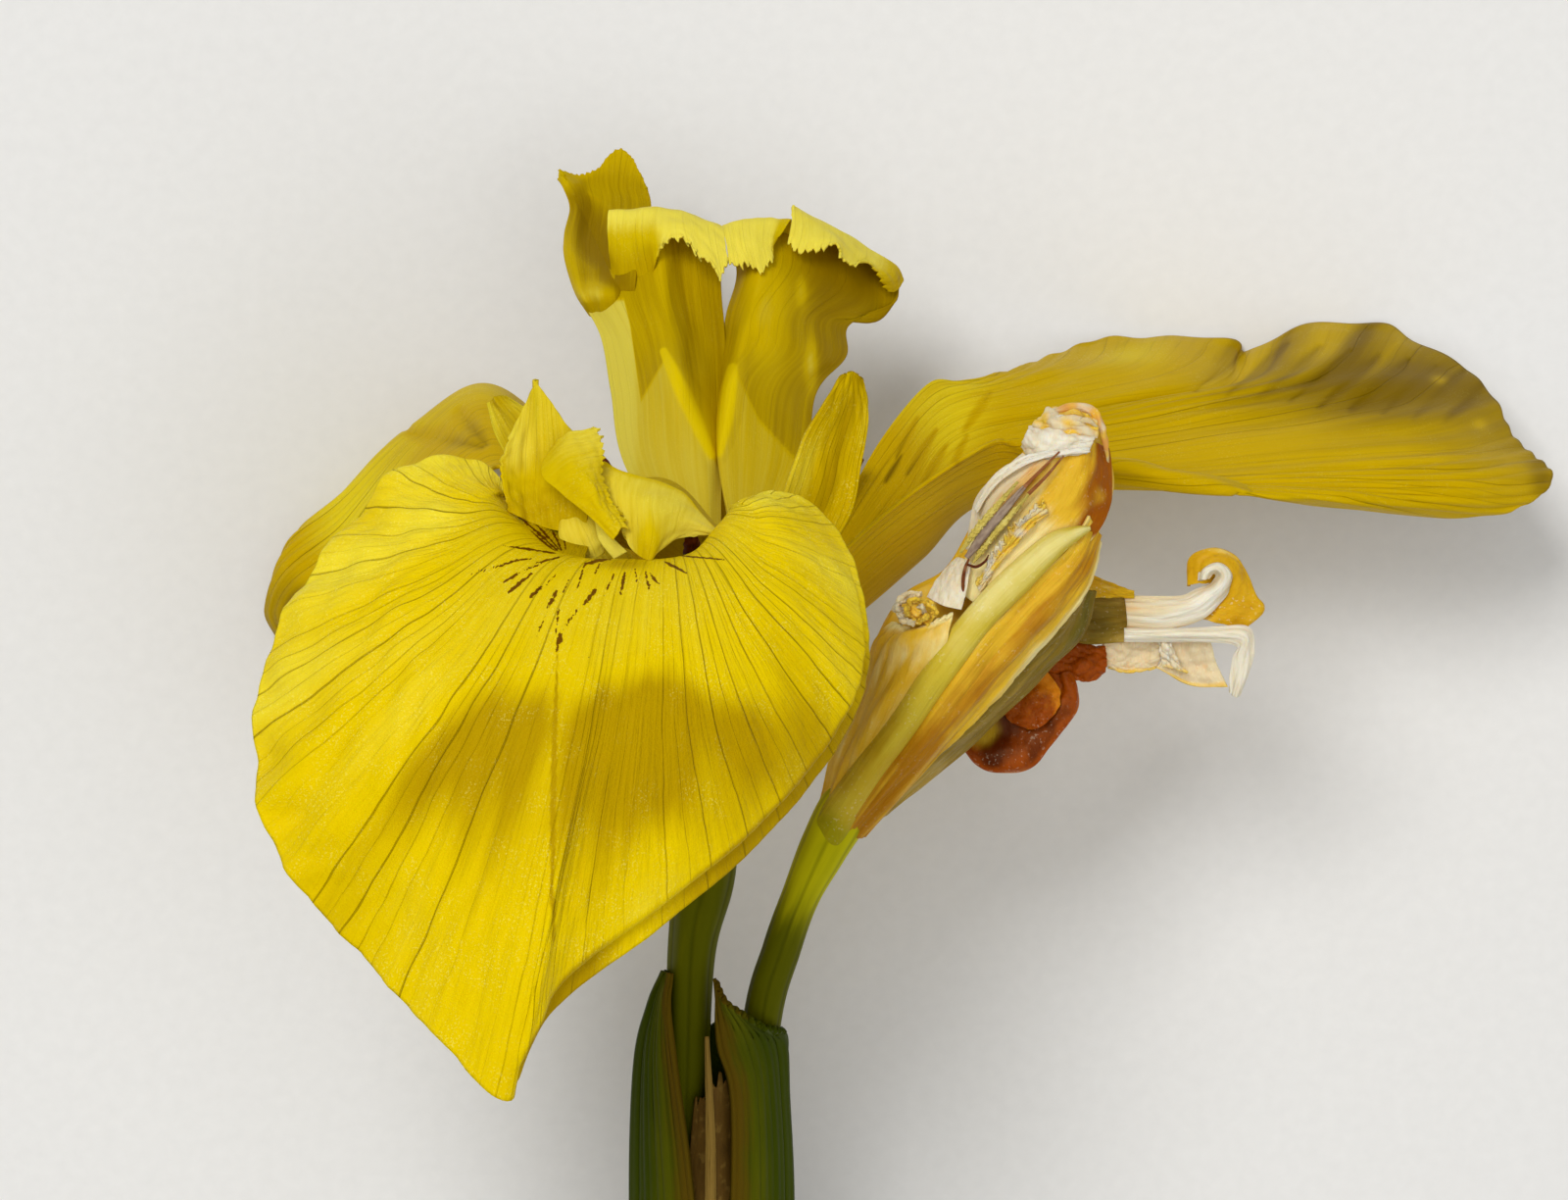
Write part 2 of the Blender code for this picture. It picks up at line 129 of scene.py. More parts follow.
def normals(points):
    """Unit normals of a grid: the cross product of its slopes across and along."""
    n = np.cross(np.gradient(points, axis=1), np.gradient(points, axis=0))
    return n / np.maximum(np.linalg.norm(n, axis=2, keepdims=True), 1e-9)


def moved(p, way, share):
    """Points moved along a direction, or along one direction each, by each point's share of it."""
    return p + np.asarray(way, float) * share[..., None]


def wander(x, y, seed, waves=7):
    """Smooth irregular waves between about -1 and 1: a sum of sines in seeded directions and lengths."""
    rng = np.random.default_rng(seed)
    total = np.zeros(np.broadcast(x, y).shape)
    for _ in range(waves):
        a, b, phase = rng.uniform(-1, 1), rng.uniform(-1, 1), rng.uniform(0, 2 * math.pi)
        total = total + np.sin(2 * math.pi * (a * x + b * y) + phase)
    return total / math.sqrt(waves)


def saw(t, teeth, seed):
    """An uneven row of small teeth, from about 0 to 1, along t: two saws of unlike pitch, under slow waves."""
    a = np.abs((t * teeth + 0.3 * wander(t * 3, 0, seed)) % 1 - 0.5) * 2
    b = (t * teeth * 1.9 + 0.4) % 1
    return (0.65 * a + 0.35 * b) * (0.7 + 0.3 * wander(t * teeth / 3, 0.5, seed + 1))


def toothed(p, teeth, size, seed, side="end", reach=0.1):
    """Cuts teeth along one side of a sheet: points near it move outwards, by the saw's height times size."""
    v, u = parameters(p)
    if side == "end":
        out, t, share = p[-1] - p[-3], u, smooth(v, 1 - reach, 1)
        out = (out / np.linalg.norm(out, axis=1, keepdims=True))[None]
    else:
        edge, inner, share = (p[:, 0], p[:, 2], smooth(u, reach, 0)) if side == "first" else (
            p[:, -1], p[:, -3], smooth(u, 1 - reach, 1))
        out, t = edge - inner, v
        out = (out / np.linalg.norm(out, axis=1, keepdims=True))[:, None]
    return p + out * (share * (saw(t, teeth, seed) - 0.4) * size)[..., None]


def crumpled(p, size, lumps, seed):
    """Moves a sheet's points along its normals by irregular waves, at two scales."""
    v, u = parameters(p)
    waves = wander(u * lumps, v * lumps, seed) + 0.45 * wander(u * lumps * 2.7, v * lumps * 2.7, seed + 1)
    return moved(p, normals(p), size * waves)


def blot(p, x, y, wide, high):
    """1 at a place in plan, falling away from it as a bell."""
    return np.exp(-(((p[..., 0] - x) / wide) ** 2) - ((p[..., 1] - y) / high) ** 2)


def below(p, xs, ys, soft=0.15):
    """1 where a point lies, in plan, under the line through these x and y, and 0 over it."""
    return smooth(np.interp(p[..., 0], xs, ys) - p[..., 1], -soft, soft)


def dashes(p, strokes):
    """1 on the middle of the nearest stroke in plan, 0.5 at its edge, and 0 at twice its half width. A stroke is
    its two ends and its half width; it narrows towards both ends."""
    nearest = np.zeros(p.shape[:2])
    for x0, y0, x1, y1, half in strokes:
        run = np.array([x1 - x0, y1 - y0])
        t = np.clip(((p[..., :2] - (x0, y0)) @ run) / (run @ run), 0, 1)
        away = np.linalg.norm(p[..., :2] - np.array((x0, y0)) - t[..., None] * run, axis=2)
        width = half * (0.55 + 0.45 * np.sin(math.pi * t))
        nearest = np.maximum(nearest, np.clip(1 - 0.5 * away / width, 0, 1))
    return nearest


def on_axis(azimuth, radius, rise):
    """A point beside the flower's axis: rise along it from the tube's top, and radius out from it."""
    turn = math.radians(azimuth)
    up = np.array([0, math.cos(LEAN), math.sin(LEAN)])
    out = np.array([1, 0, 0]) * math.cos(turn) + np.array([0, -math.sin(LEAN), math.cos(LEAN)]) * math.sin(turn)
    return TUBE_TOP + radius * out + rise * up


def base_row(azimuth, spread, radius=RING, rise=SEAT):
    """The arc that a petal or style arm grows from."""
    return [on_axis(azimuth + turn, radius, rise) for turn in (spread, 0, -spread)]


def arc_row(y, middle, radii, first, last, count=9):
    """Part of an ellipse around the stem at height y, from the first angle to the last, in degrees."""
    a = np.radians(np.linspace(first, last, count))
    return np.stack([middle[0] + radii[0] * np.cos(a), np.full(count, float(y)),
                     middle[1] + radii[1] * np.sin(a)], 1)


# Meshes

def mesh_of(name, points, closed, along, fields):
    """A grid of quads as an object, with numbers on its points in named fields. A closed grid joins its last column
    to its first and has a face on each end; it is turned outwards if the volume that it holds is negative."""
    rows, columns = points.shape[:2]
    across = columns if closed else columns - 1
    t = np.linspace(0, 1, rows) if along is None else steps(along)
    r, c = np.meshgrid(np.arange(rows - 1), np.arange(across), indexing="ij")
    after = (c + 1) % columns
    quads = np.stack([r * columns + c, r * columns + after, (r + 1) * columns + after,
                      (r + 1) * columns + c], -1)
    quads = quads.reshape(-1, 4)
    u = np.stack([c, c + 1, c + 1, c], -1).reshape(-1, 4) / across
    v = t[np.stack([r, r, r + 1, r + 1], -1).reshape(-1, 4)]
    flat = points.reshape(-1, 3)
    ends = []
    if closed:
        a, b, d = flat[quads[:, 0]], flat[quads[:, 1]], flat[quads[:, 2]]
        ring = np.arange(columns)
        if np.einsum("ij,ij->i", a - flat.mean(0), np.cross(b - a, d - a)).sum() < 0:
            quads, u, v = quads[:, ::-1], u[:, ::-1], v[:, ::-1]
            ends = [ring, ring[::-1] + (rows - 1) * columns]
        else:
            ends = [ring[::-1], ring + (rows - 1) * columns]
    data = bpy.data.meshes.new(name)
    data.from_pydata((flat + HEAD) * MM, [], quads.tolist() + [end.tolist() for end in ends])
    corners = np.stack([u.ravel(), v.ravel()], 1)
    if closed:
        around = np.arange(columns) / columns
        corners = np.concatenate([corners, *[np.stack([around, np.full(columns, e)], 1) for e in (0.0, 1.0)]])
    data.uv_layers.new(name="veins").data.foreach_set("uv", corners.ravel())
    for field in ("tint", "blush", "marks"):
        value = np.broadcast_to(fields.get(field, 0.0), (rows, columns)).ravel().astype(np.float32)
        data.attributes.new(field, "FLOAT", "POINT").data.foreach_set("value", value)
    data.shade_smooth()
    data.update()
    obj = bpy.data.objects.new(name, data)
    bpy.context.scene.collection.objects.link(obj)
    return obj


def piece(obj, finish, slot, *nodes):
    """Gives an object its finish, puts it under the root, and hides the imported parts that it stands for."""
    obj.data.materials.append(finish)
    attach(obj, "root")
    if nodes:
        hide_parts(*nodes)
    return obj


def sheet(name, points, finish, slot, *nodes, thickness=PETAL_WALL, along=None, **fields):
    """A petal or leaf: a grid of points, thickened about its middle."""
    obj = mesh_of(name, points, False, along, fields)
    wall = obj.modifiers.new("thickness", "SOLIDIFY")
    wall.thickness = thickness * MM
    wall.offset = 0
    return piece(obj, finish, slot, *nodes)


def tube(path, sizes, sides, rings, swell=None):
    """Points of a tube along a path with oval sections: half widths across the path and +Z, and half depths.
    swell is a function of V and U that multiplies the section's size."""
    s = np.linspace(0, 1, rings)
    middle = spline(path, s)
    half = spline([(*size, 0) for size in sizes], s)
    run = np.gradient(middle, axis=0)
    run /= np.linalg.norm(run, axis=1)[:, None]
    wide = np.cross(run, (0, 0, 1))
    wide /= np.linalg.norm(wide, axis=1)[:, None]
    deep = np.cross(wide, run)
    v, u = np.meshgrid(s, np.arange(sides) / sides, indexing="ij")
    grow = 1 if swell is None else swell(v, u)
    turn = 2 * math.pi * u
    return (
        middle[:, None]
        + (grow * half[:, 0, None] * np.cos(turn))[..., None] * wide[:, None]
        + (grow * half[:, 1, None] * np.sin(turn))[..., None] * deep[:, None]
    )


def husk(left, right, rise, drop, around, rings):
    """Points of a closed body between two edges: each section is an oval from the left edge over the top to the
    right edge and back underneath, with its own height above and below them. Returns U as well, 0 at the left
    edge, 0.25 on top, 0.5 at the right edge and 0.75 underneath."""
    s = np.linspace(0, 1, rings)
    a, b = spline(left, s), spline(right, s)
    heights = spline([(up, down, 0) for up, down in zip(rise, drop)], s)
    v, u = np.meshgrid(s, np.arange(around) / around, indexing="ij")
    side, up = -np.cos(2 * math.pi * u), np.sin(2 * math.pi * u)
    p = (a + b)[:, None] / 2 + side[..., None] * (b - a)[:, None] / 2
    p[..., 2] += np.where(up > 0, up * heights[:, 0, None], up * heights[:, 1, None])
    return p, v, u


def stalk(name, points, finish, slot, *nodes, **fields):
    """A closed stalk from the points of a tube or husk."""
    return piece(mesh_of(name, points, True, None, fields), finish, slot, *nodes)


# Finishes

def rgb(red, green, blue):
    """A colour given as display values from 0 to 255, made linear."""
    return tuple((c / 12.92 if c <= 0.04045 else ((c + 0.055) / 1.055) ** 2.4) for c in
                 (red / 255, green / 255, blue / 255)) + (1.0,)


class Number:
    """A number that changes over a surface. Its arithmetic adds Math nodes."""

    def __init__(self, finish, socket):
        self.finish, self.socket = finish, socket

    def math(self, operation, *others):
        return self.finish.number("ShaderNodeMath", {"operation": operation}, [self, *others])

    def __add__(self, other):
        return self.math("ADD", other)

    def __sub__(self, other):
        return self.math("SUBTRACT", other)

    def __rsub__(self, other):
        return self.finish.number("ShaderNodeMath", {"operation": "SUBTRACT"}, [other, self])

    def __mul__(self, other):
        return self.math("MULTIPLY", other)

    def __rtruediv__(self, other):
        return self.finish.number("ShaderNodeMath", {"operation": "DIVIDE"}, [other, self])

    __radd__, __rmul__ = __add__, __mul__

    def step(self, low, high):
        """0 at low, 1 at high and smooth between. With low above high it falls instead."""
        settings = {"interpolation_type": "SMOOTHSTEP"}
        return self.finish.number("ShaderNodeMapRange", settings,
                                  {"Value": self, "From Min": low, "From Max": high})

    def lines(self, width, seed=0.5):
        """Thin lines where this number passes the halves between whole ones, each with its own strength. width is
        their half width as a share of the distance between them."""
        own = self.finish.number("ShaderNodeTexWhiteNoise", {"noise_dimensions": "1D"},
                                 {"W": self.math("FLOOR") + seed})
        return (self.math("FRACT") - 0.5).math("ABSOLUTE").step(width, 0.0) * own.step(0.0, 1.1)


class Finish:
    """A material and its pattern, in words: numbers, colours, noises and lines along the veins."""

    def __init__(self, name, **constants):
        self.material = bpy.data.materials.new(name)
        self.material.use_nodes = True
        self.tree = self.material.node_tree
        self.shader = self.tree.nodes["Principled BSDF"]
        for socket, value in constants.items():
            self.shader.inputs[socket.replace("_", " ")].default_value = value

    def link(self, value, socket):
        """Sets a socket to a value, or links it where the value comes from another node."""
        if isinstance(value, Number):
            value = value.socket
        if isinstance(value, bpy.types.NodeSocket):
            self.tree.links.new(value, socket)
        else:
            socket.default_value = value

    def node(self, kind, settings=None, inputs=None):
        """A node of this kind, with its settings made first, and then its sockets given values or links."""
        made = self.tree.nodes.new(kind)
        for key, value in (settings or {}).items():
            setattr(made, key, value)
        for key, value in inputs.items() if isinstance(inputs, dict) else enumerate(inputs or []):
            self.link(value, made.inputs[key])
        return made

    def number(self, kind, settings=None, inputs=None, out=0):
        return Number(self, self.node(kind, settings, inputs).outputs[out])

    def uv(self):
        """U across the veins and V along them."""
        parts = self.node("ShaderNodeSeparateXYZ", {}, [self.node("ShaderNodeUVMap", {"uv_map": "veins"}).outputs[0]])
        return Number(self, parts.outputs[0]), Number(self, parts.outputs[1])

    def field(self, name):
        """A number that the mesh holds on its points."""
        return self.number("ShaderNodeAttribute", {"attribute_name": name}, out=2)

    def noise(self, scale, detail=2.0, at=None):
        """Noise from 0 to 1, in lumps per metre of the object, or at another vector."""
        at = at or self.node("ShaderNodeTexCoord").outputs["Object"]
        return self.number("ShaderNodeTexNoise", {}, {"Vector": at, "Scale": scale, "Detail": detail})

    def streaks(self, across, along, detail=3.0):
        """Noise stretched along the veins, with this many lumps across the sheet and along it."""
        u, v = self.uv()
        wobble = (self.noise(160, 2) - 0.5) * 0.4
        at = self.node("ShaderNodeCombineXYZ", {}, [u * across + wobble, v * along, 0.0]).outputs[0]
        return self.noise(1, detail, at)

    def mix(self, share, first, second):
        """A colour between two others."""
        made = self.node("ShaderNodeMix", {"data_type": "RGBA"})
        for socket, value in ((0, share), (6, first), (7, second)):
            self.link(value, made.inputs[socket])
        return made.outputs[2]

    def toned(self, tone, deep, main, light):
        """The deep colour where tone is -1, the main one at 0 and the light one at 1."""
        return self.mix(tone.step(0, -1), self.mix(tone.step(0, 1), main, light), deep)

    def finish(self, colour, roughness, height, depth):
        """Links the colour, the roughness and a bump of this height, with its depth in millimetres."""
        bump = self.node("ShaderNodeBump", {}, {"Strength": 1.0, "Distance": depth * MM, "Height": height})
        for socket, value in (("Base Color", colour), ("Roughness", roughness), ("Normal", bump.outputs[0])):
            self.link(value, self.shader.inputs[socket])
        return self.material


def petal_finish(name, deep, main, light, veins, vein_tone, glitter, relief=0.12, rough=0.5):
    """Petal skin. Main veins are thin lines of equal U, each with its own strength; twice and four times as many
    come in towards the margin. Stretched noise makes the finer grain along them, blush is a clear gold, marks holds
    the brown signal lines, and small bright specks, in drifts, are painted glints of shining cells."""
    f = Finish(name, Subsurface_Weight=0.15, Subsurface_Scale=0.0005, Subsurface_Radius=(1.0, 0.8, 0.05),
               Specular_IOR_Level=0.07, Specular_Tint=rgb(255, 228, 110))
    u, v = f.uv()
    drift = f.noise(110, 3) - 0.5
    tone = f.field("tint") + (f.noise(70, 2) - 0.5) * 0.6
    thin = 0.024 / (v * v * 0.9 + 0.1)
    across = u * veins + drift * 0.4
    vein = across.lines(thin + 0.012) * v.step(0.12, 0.3)
    second = (across * 2 + 0.5).lines(thin + 0.02, 7.5) * v.step(0.45, 0.6)
    fourth = (across * 4 + 0.25).lines(thin * 1.6 + 0.03, 3.5) * v.step(0.6, 0.85)
    grain, fine = f.streaks(veins * 1.6, 2.4, 4), f.streaks(veins * 6, 9, 3)
    colour = f.toned(tone + (grain - 0.5) * 0.7, deep, main, light)
    colour = f.mix((vein * 0.9 + second * 0.7 + fourth * 0.45) * vein_tone, colour, deep)
    colour = f.mix(fine.step(0.5, 0.75) * vein_tone * 0.4, colour, deep)
    colour = f.mix(f.field("blush"), colour, rgb(222, 194, 0))
    cells = f.noise(6800, 1)
    specks = cells.step(0.58, 0.68) * (f.noise(420, 3) + tone * 0.12).step(0.36, 0.68)
    colour = f.mix(specks * glitter, colour, rgb(255, 244, 120))
    marks = (f.field("marks") + (f.noise(3400, 2) - 0.5) * 1.4 + (f.noise(900, 1) - 0.5) * 0.5).step(0.4, 0.66)
    colour = f.mix(marks * 0.92, colour, rgb(92, 34, 0))
    height = cells * 0.12 + grain * 0.4 + fine * 0.45 - vein * 0.3 - second * 0.2 + f.noise(900, 2) * 0.3
    return f.finish(colour, (grain - 0.5) * 0.15 - specks * 0.2 + rough, height, relief)


def green_finish(name, deep, main, light, lines, rough=0.5):
    """Green skin with lengthwise lines. tint runs from the deep colour to the light one, and blush is dry brown."""
    f = Finish(name, Subsurface_Weight=0.06, Subsurface_Scale=0.0005, Subsurface_Radius=(0.6, 1.0, 0.1),
               Specular_IOR_Level=0.12, Specular_Tint=rgb(240, 240, 120))
    u, v = f.uv()
    fibre = f.streaks(lines * 2.5, 5)
    tone = f.field("tint") + (f.noise(90, 3) - 0.5) * 0.8 + (fibre - 0.5) * 0.6
    colour = f.toned(tone, deep, main, light)
    line = (u * lines + (f.noise(60, 2) - 0.5) * 0.4).lines(0.16)
    colour = f.mix(line * 0.4, colour, deep)
    dry = (f.field("blush") + (fibre - 0.5) * 0.7 + (f.noise(400, 2) - 0.5) * 0.5).step(0.25, 0.95)
    colour = f.mix(dry * 0.85, colour, rgb(92, 68, 10))
    return f.finish(colour, fibre * 0.15 + dry * 0.15 + rough, fibre * 0.4 - line * 0.4, 0.06)


def dry_finish(name, deep, main, light, across, relief=0.12):
    """Dry tissue: streaks of a deep and a light colour along it, under a fine grit."""
    f = Finish(name, Specular_IOR_Level=0.15)
    fibre, grit = f.streaks(across, 8), f.noise(1500, 3)
    tone = f.field("tint") + (f.noise(300, 3) - 0.5) * 1.4 + (fibre - 0.5) * 1.6
    colour = f.toned(tone, deep, main, light)
    colour = f.mix(grit.step(0.55, 0.7) * 0.4, colour, light)
    return f.finish(colour, fibre * 0.2 + 0.65, fibre + grit * 0.6, relief)


def limp_finish(name, deep, main, light, blush, across, rough=0.36, thin=0.3, glitter=0.3):
    """Limp withered petal: blotches and soft folds along it in a deep and a light colour, a third one where the
    mesh says so, a dull wet shine, and painted glints of sparkling cells."""
    f = Finish(name, Subsurface_Weight=thin, Subsurface_Scale=0.0008, Subsurface_Radius=(1.0, 0.6, 0.3),
               Specular_IOR_Level=0.2, Specular_Tint=rgb(255, 230, 180))
    fold, fine = f.streaks(across, 2.5, 4), f.streaks(across * 6, 7, 2)
    tone = f.field("tint") + (f.noise(230, 4) - 0.5) * 1.3 + (fold - 0.5) * 1.6
    colour = f.toned(tone, deep, main, light)
    other = (f.field("blush") + (f.noise(300, 3) - 0.5) * 0.5 + (fold - 0.5) * 0.4).step(0.2, 0.8)
    colour = f.mix(other, colour, blush)
    colour = f.mix(fine.step(0.55, 0.75) * 0.25, colour, deep)
    cells = f.noise(4200, 1)
    specks = cells.step(0.62, 0.72) * f.noise(400, 1).step(0.4, 0.6)
    colour = f.mix(specks * glitter, colour, rgb(250, 246, 214))
    height = fold * 0.9 + fine * 0.3 + f.noise(800, 3) * 0.45 + cells * 0.08
    return f.finish(colour, fold * 0.2 - specks * 0.15 + rough, height, 0.2)


FALL_SKIN = petal_finish("fall_skin", rgb(182, 148, 0), rgb(230, 200, 0), rgb(240, 220, 52), 44, 0.4, 0.3,
                         0.32)
SIDE_FALL_SKIN = petal_finish("side_fall_skin", rgb(126, 98, 0), rgb(204, 168, 0), rgb(232, 208, 28), 30,
                              0.36, 0.1)
STANDARD_SKIN = petal_finish("standard_skin", rgb(150, 118, 0), rgb(198, 166, 0), rgb(228, 206, 44), 12,
                             0.3, 0.25)
STYLE_SKIN = petal_finish("style_skin", rgb(166, 132, 0), rgb(210, 182, 2), rgb(238, 220, 78), 18, 0.12,
                          0.12, 0.05,
                          0.5)
# A darker copy of the style skin, which paints the standing arms and their crest as in shade.
SHADED_ARM_SKIN = petal_finish("shaded_arm_skin", rgb(144, 114, 0), rgb(198, 168, 0), rgb(212, 196, 72), 18, 0.1, 0.05,
                        0.05, 0.5)
STALK_SKIN = green_finish("stalk_skin", rgb(44, 48, 0), rgb(86, 88, 0), rgb(190, 184, 10), 6)
SPATHE_SKIN = green_finish("spathe_skin", rgb(30, 40, 0), rgb(54, 66, 0), rgb(88, 90, 6), 16)
DRY_SKIN = dry_finish("dry_margin", rgb(56, 36, 4), rgb(98, 70, 20), rgb(146, 116, 50), 6)
WITHERED_SKIN = limp_finish("withered_skin", rgb(176, 118, 6), rgb(226, 180, 40), rgb(244, 224, 156),
                            rgb(150, 80, 0), 7, glitter=0.12)
SHADED_SKIN = limp_finish("shaded_skin", rgb(84, 70, 16), rgb(132, 108, 30), rgb(176, 148, 66),
                          rgb(110, 104, 10), 6,
                          glitter=0.12)
CREAM_SKIN = limp_finish("cream_skin", rgb(226, 164, 84), rgb(226, 206, 168), rgb(244, 234, 214),
                         rgb(240, 190, 60),
                         6, 0.34, 0.4)
CLAW_SKIN = limp_finish("claw_skin", rgb(184, 148, 10), rgb(206, 184, 52), rgb(230, 218, 140),
                        rgb(160, 150, 4), 5,
                        0.38, 0.15, 0.2)
ORANGE_SKIN = limp_finish("orange_skin", rgb(80, 26, 0), rgb(150, 66, 0), rgb(214, 128, 14),
                          rgb(168, 138, 10), 6,
                          glitter=0.15)
CURL_SKIN = limp_finish("curl_skin", rgb(160, 112, 4), rgb(214, 166, 20), rgb(240, 216, 130),
                        rgb(244, 238, 224), 5)
ANTHER_SKIN = dry_finish("anther_skin", rgb(70, 48, 40), rgb(126, 104, 88), rgb(172, 152, 130), 6)
SIGNAL_ANTHER = dry_finish("signal_anther_skin", rgb(48, 14, 0), rgb(96, 36, 4), rgb(140, 72, 20), 6)
FILAMENT_SKIN = dry_finish("filament_skin", rgb(84, 34, 8), rgb(140, 82, 40), rgb(180, 130, 90), 3)
POLLEN = dry_finish("pollen", rgb(156, 126, 30), rgb(206, 184, 84), rgb(238, 226, 140), 10, 0.25)


# Stems

def ribs(count, depth):
    """Lengthwise ribs as a swelling: one, plus depth times the cosine of count turns around."""
    return lambda v, u: 1 + depth * np.cos(2 * math.pi * count * u) + 0.012 * wander(u * 3, v * 6, count)


def make_stems():
    """The cut stem, the ovary and pedicel of each flower, and the tube that the petals leave from."""
    v = np.linspace(0, 1, 140)[:, None]
    p = tube([(-5.5, -118, -31.2), (-5.4, -98, -28.8), (-5.3, -80, -24.4), (-5.3, -62, -18.9)],
             [(4.4, 3.8), (4.3, 3.8), (4.1, 3.7), (3.4, 2.9)], 64, 140, ribs(9, 0.012))
    stalk("stem", p, STALK_SKIN, "stalk", "stem", tint=-0.1 - 0.5 * v, blush=0.5 * smooth(v, 0.02, 0))
    p = tube([(-7, -61.6, -18.8), (-7.2, -45, -13.6), (-6.8, -27, -7.2), (-5.8, -20, -5.2),
              (-5, -13.5, -3.2)],
             [(1.5, 1.5), (1.5, 1.5), (1.62, 1.5), (2.15, 2.0), (2.0, 2.0)], 48, 140, ribs(6, 0.04))
    stalk("flower_stalk", p, STALK_SKIN, "stalk", "flower_stalk", tint=0.3 * smooth(v, 0.65, 1))
    p = tube([(-4.96, -13.3, -3.15), (-4.75, -10, -2.15), (-4.5, -6.7, -1.15)],
             [(1.95, 1.95), (2.1, 2.1), (3.1, 3.1)], 48, 40, ribs(6, 0.05))
    stalk("perianth_tube", p, STYLE_SKIN, "petal", "perianth_tube", tint=-0.6)
    p = tube([(-3.6, -61.6, -18.8), (-2.9, -45, -13.6), (-1.7, -31, -7.8), (-0.2, -25.2, -6.2),
              (1.2, -21.3, -5.2),
              (2.8, -17.9, -4.2), (4.4, -14.9, -3.2), (6.0, -12.2, -2.2)],
             [(1.3, 1.3), (1.3, 1.3), (1.4, 1.3), (1.4, 1.3), (1.4, 1.3), (1.75, 1.5), (1.9, 1.5), (1.2, 0.8)], 48, 200,
             ribs(3, 0.03))
    v = np.linspace(0, 1, 200)[:, None]
    stalk("withered_stalk", p, STALK_SKIN, "stalk", "withered_stalk",
          tint=0.85 * smooth(v, 0.42, 0.66) + 0.4 * smooth(v, 0.7, 0.95), blush=0.2 * smooth(v, 0.6, 0.3))
    p = tube([on_axis(0, 0, SEAT), on_axis(0, 0, COLUMN_HEIGHT / 2), on_axis(0, 0, COLUMN_HEIGHT)],
             [(1.1, 1.1), (1.1, 1.1), (1.9, 1.9)], 32, 30, ribs(3, 0.06))
    stalk("style_column", p, STYLE_SKIN, "style", "style_column", tint=0.2)


def make_spathes():
    """Two keeled bracts, each an arc around the stalks, with dry brown skin along the edges of the slit."""
    left = patch([
        arc_row(-78, (-5.3, -23.7), (5.0, 4.7), 96, 262),
        arc_row(-60, (-5.3, -18.3), (5.4, 4.7), 97, 262),
        arc_row(-45, (-5.3, -13.6), (5.7, 4.6), 102, 262),
        arc_row(-34, (-6.3, -9.5), (4.3, 4.0), 110, 250),
        arc_row(-29.5, (-7.1, -7.6), (2.6, 3.0), 118, 215),
        arc_row(-27.0, (-7.6, -6.6), (0.9, 1.6), 130, 185),
    ], 101, 161)
    right = patch([
        arc_row(-78, (-5.3, -23.7), (5.0, 4.7), 84, -82),
        arc_row(-60, (-5.3, -18.3), (5.4, 4.7), 83, -82),
        arc_row(-45, (-5.3, -13.6), (5.7, 4.6), 76, -82),
        arc_row(-36, (-4.9, -10.6), (4.9, 4.4), 78, -84),
        arc_row(-32, (-4.7, -9.3), (4.7, 4.2), 92, -84),
        [(-5.0, -27.3, -4.6), (-4.4, -28.6, -4.0), (-3.3, -29.6, -3.9), (-1.8, -30.5, -4.4),
         (-0.4, -31.2, -6.2),
         (-0.1, -31.4, -9), (-1.4, -31.6, -11.9)],
    ], 101, 161)
    for name, p, seed in (("spathe_left", left, 3), ("spathe_right", right, 4)):
        v, u = parameters(p)
        out = normals(p) * (-1 if name == "spathe_left" else 1)
        lines = 0.05 * np.cos(2 * math.pi * u * 22) + 0.28 * bell(u, 0.40, 0.035) + 0.06 * wander(u * 9, v * 2, seed)
        p = moved(p, out, lines)
        dry = smooth(u, 0.2, 0.0) * smooth(v, 0.1, 0.4) + 0.7 * smooth(v, 0.985, 1) * smooth(u, 0.5, 0.2)
        sheet(name, p, SPATHE_SKIN, "spathe", name, thickness=LEAF_WALL, blush=dry,
              tint=-0.1 + 0.75 * smooth(u, 0.35, 0.1) - 0.7 * smooth(u, 0.42, 0.8) + 0.4 * smooth(v, 0.75, 1))
    inner = patch([
        [(-6.9, -68, -17.5), (-5.3, -68, -16.95), (-3.7, -68, -17.5)],
        [(-7.4, -58, -14.9), (-5.3, -58, -14.1), (-3.2, -58, -14.9)],
        [(-7.2, -45, -11.0), (-5.2, -45, -10.1), (-2.8, -45, -11.2)],
        [(-6.5, -36.4, -8.2), (-5.1, -35.4, -7.2), (-3.0, -34.6, -8.4)],
    ], 41, 101)
    inner = toothed(inner, 5, 2.2, 13, reach=0.12)
    sheet("spathe_inner", inner, DRY_SKIN, "dry_spathe", "spathe_inner", thickness=CREST_WALL)
    lining = patch([
        [(-7.6, -52, -15.4), (-5.0, -52, -16.0), (-1.6, -52, -15.4)],
        [(-7.6, -40, -11.6), (-4.8, -40, -12.4), (-1.4, -40, -11.8)],
        [(-7.0, -32.5, -9.0), (-4.4, -30.6, -9.6), (-1.6, -31.6, -9.6)],
    ], 41, 61)
    sheet("spathe_lining", lining, SPATHE_SKIN, "spathe", thickness=HUSK_WALL, tint=-0.7, blush=0.15)
    blade = patch([
        [(-5.9, -52, -11.9), (-5.5, -52, -11.7), (-5.1, -52, -11.9)],
        [(-5.7, -40, -8.3), (-5.3, -40, -8.1), (-5.0, -40, -8.3)],
        [(-5.7, -31.6, -5.8), (-5.6, -31.6, -5.7), (-5.45, -31.6, -5.8)],
    ], 21, 61)
    sheet("spathe_thread", blade, DRY_SKIN, "dry_spathe", thickness=THREAD_WALL, tint=1.0)


# Falls: throats and margins run from one edge round the tip to the other

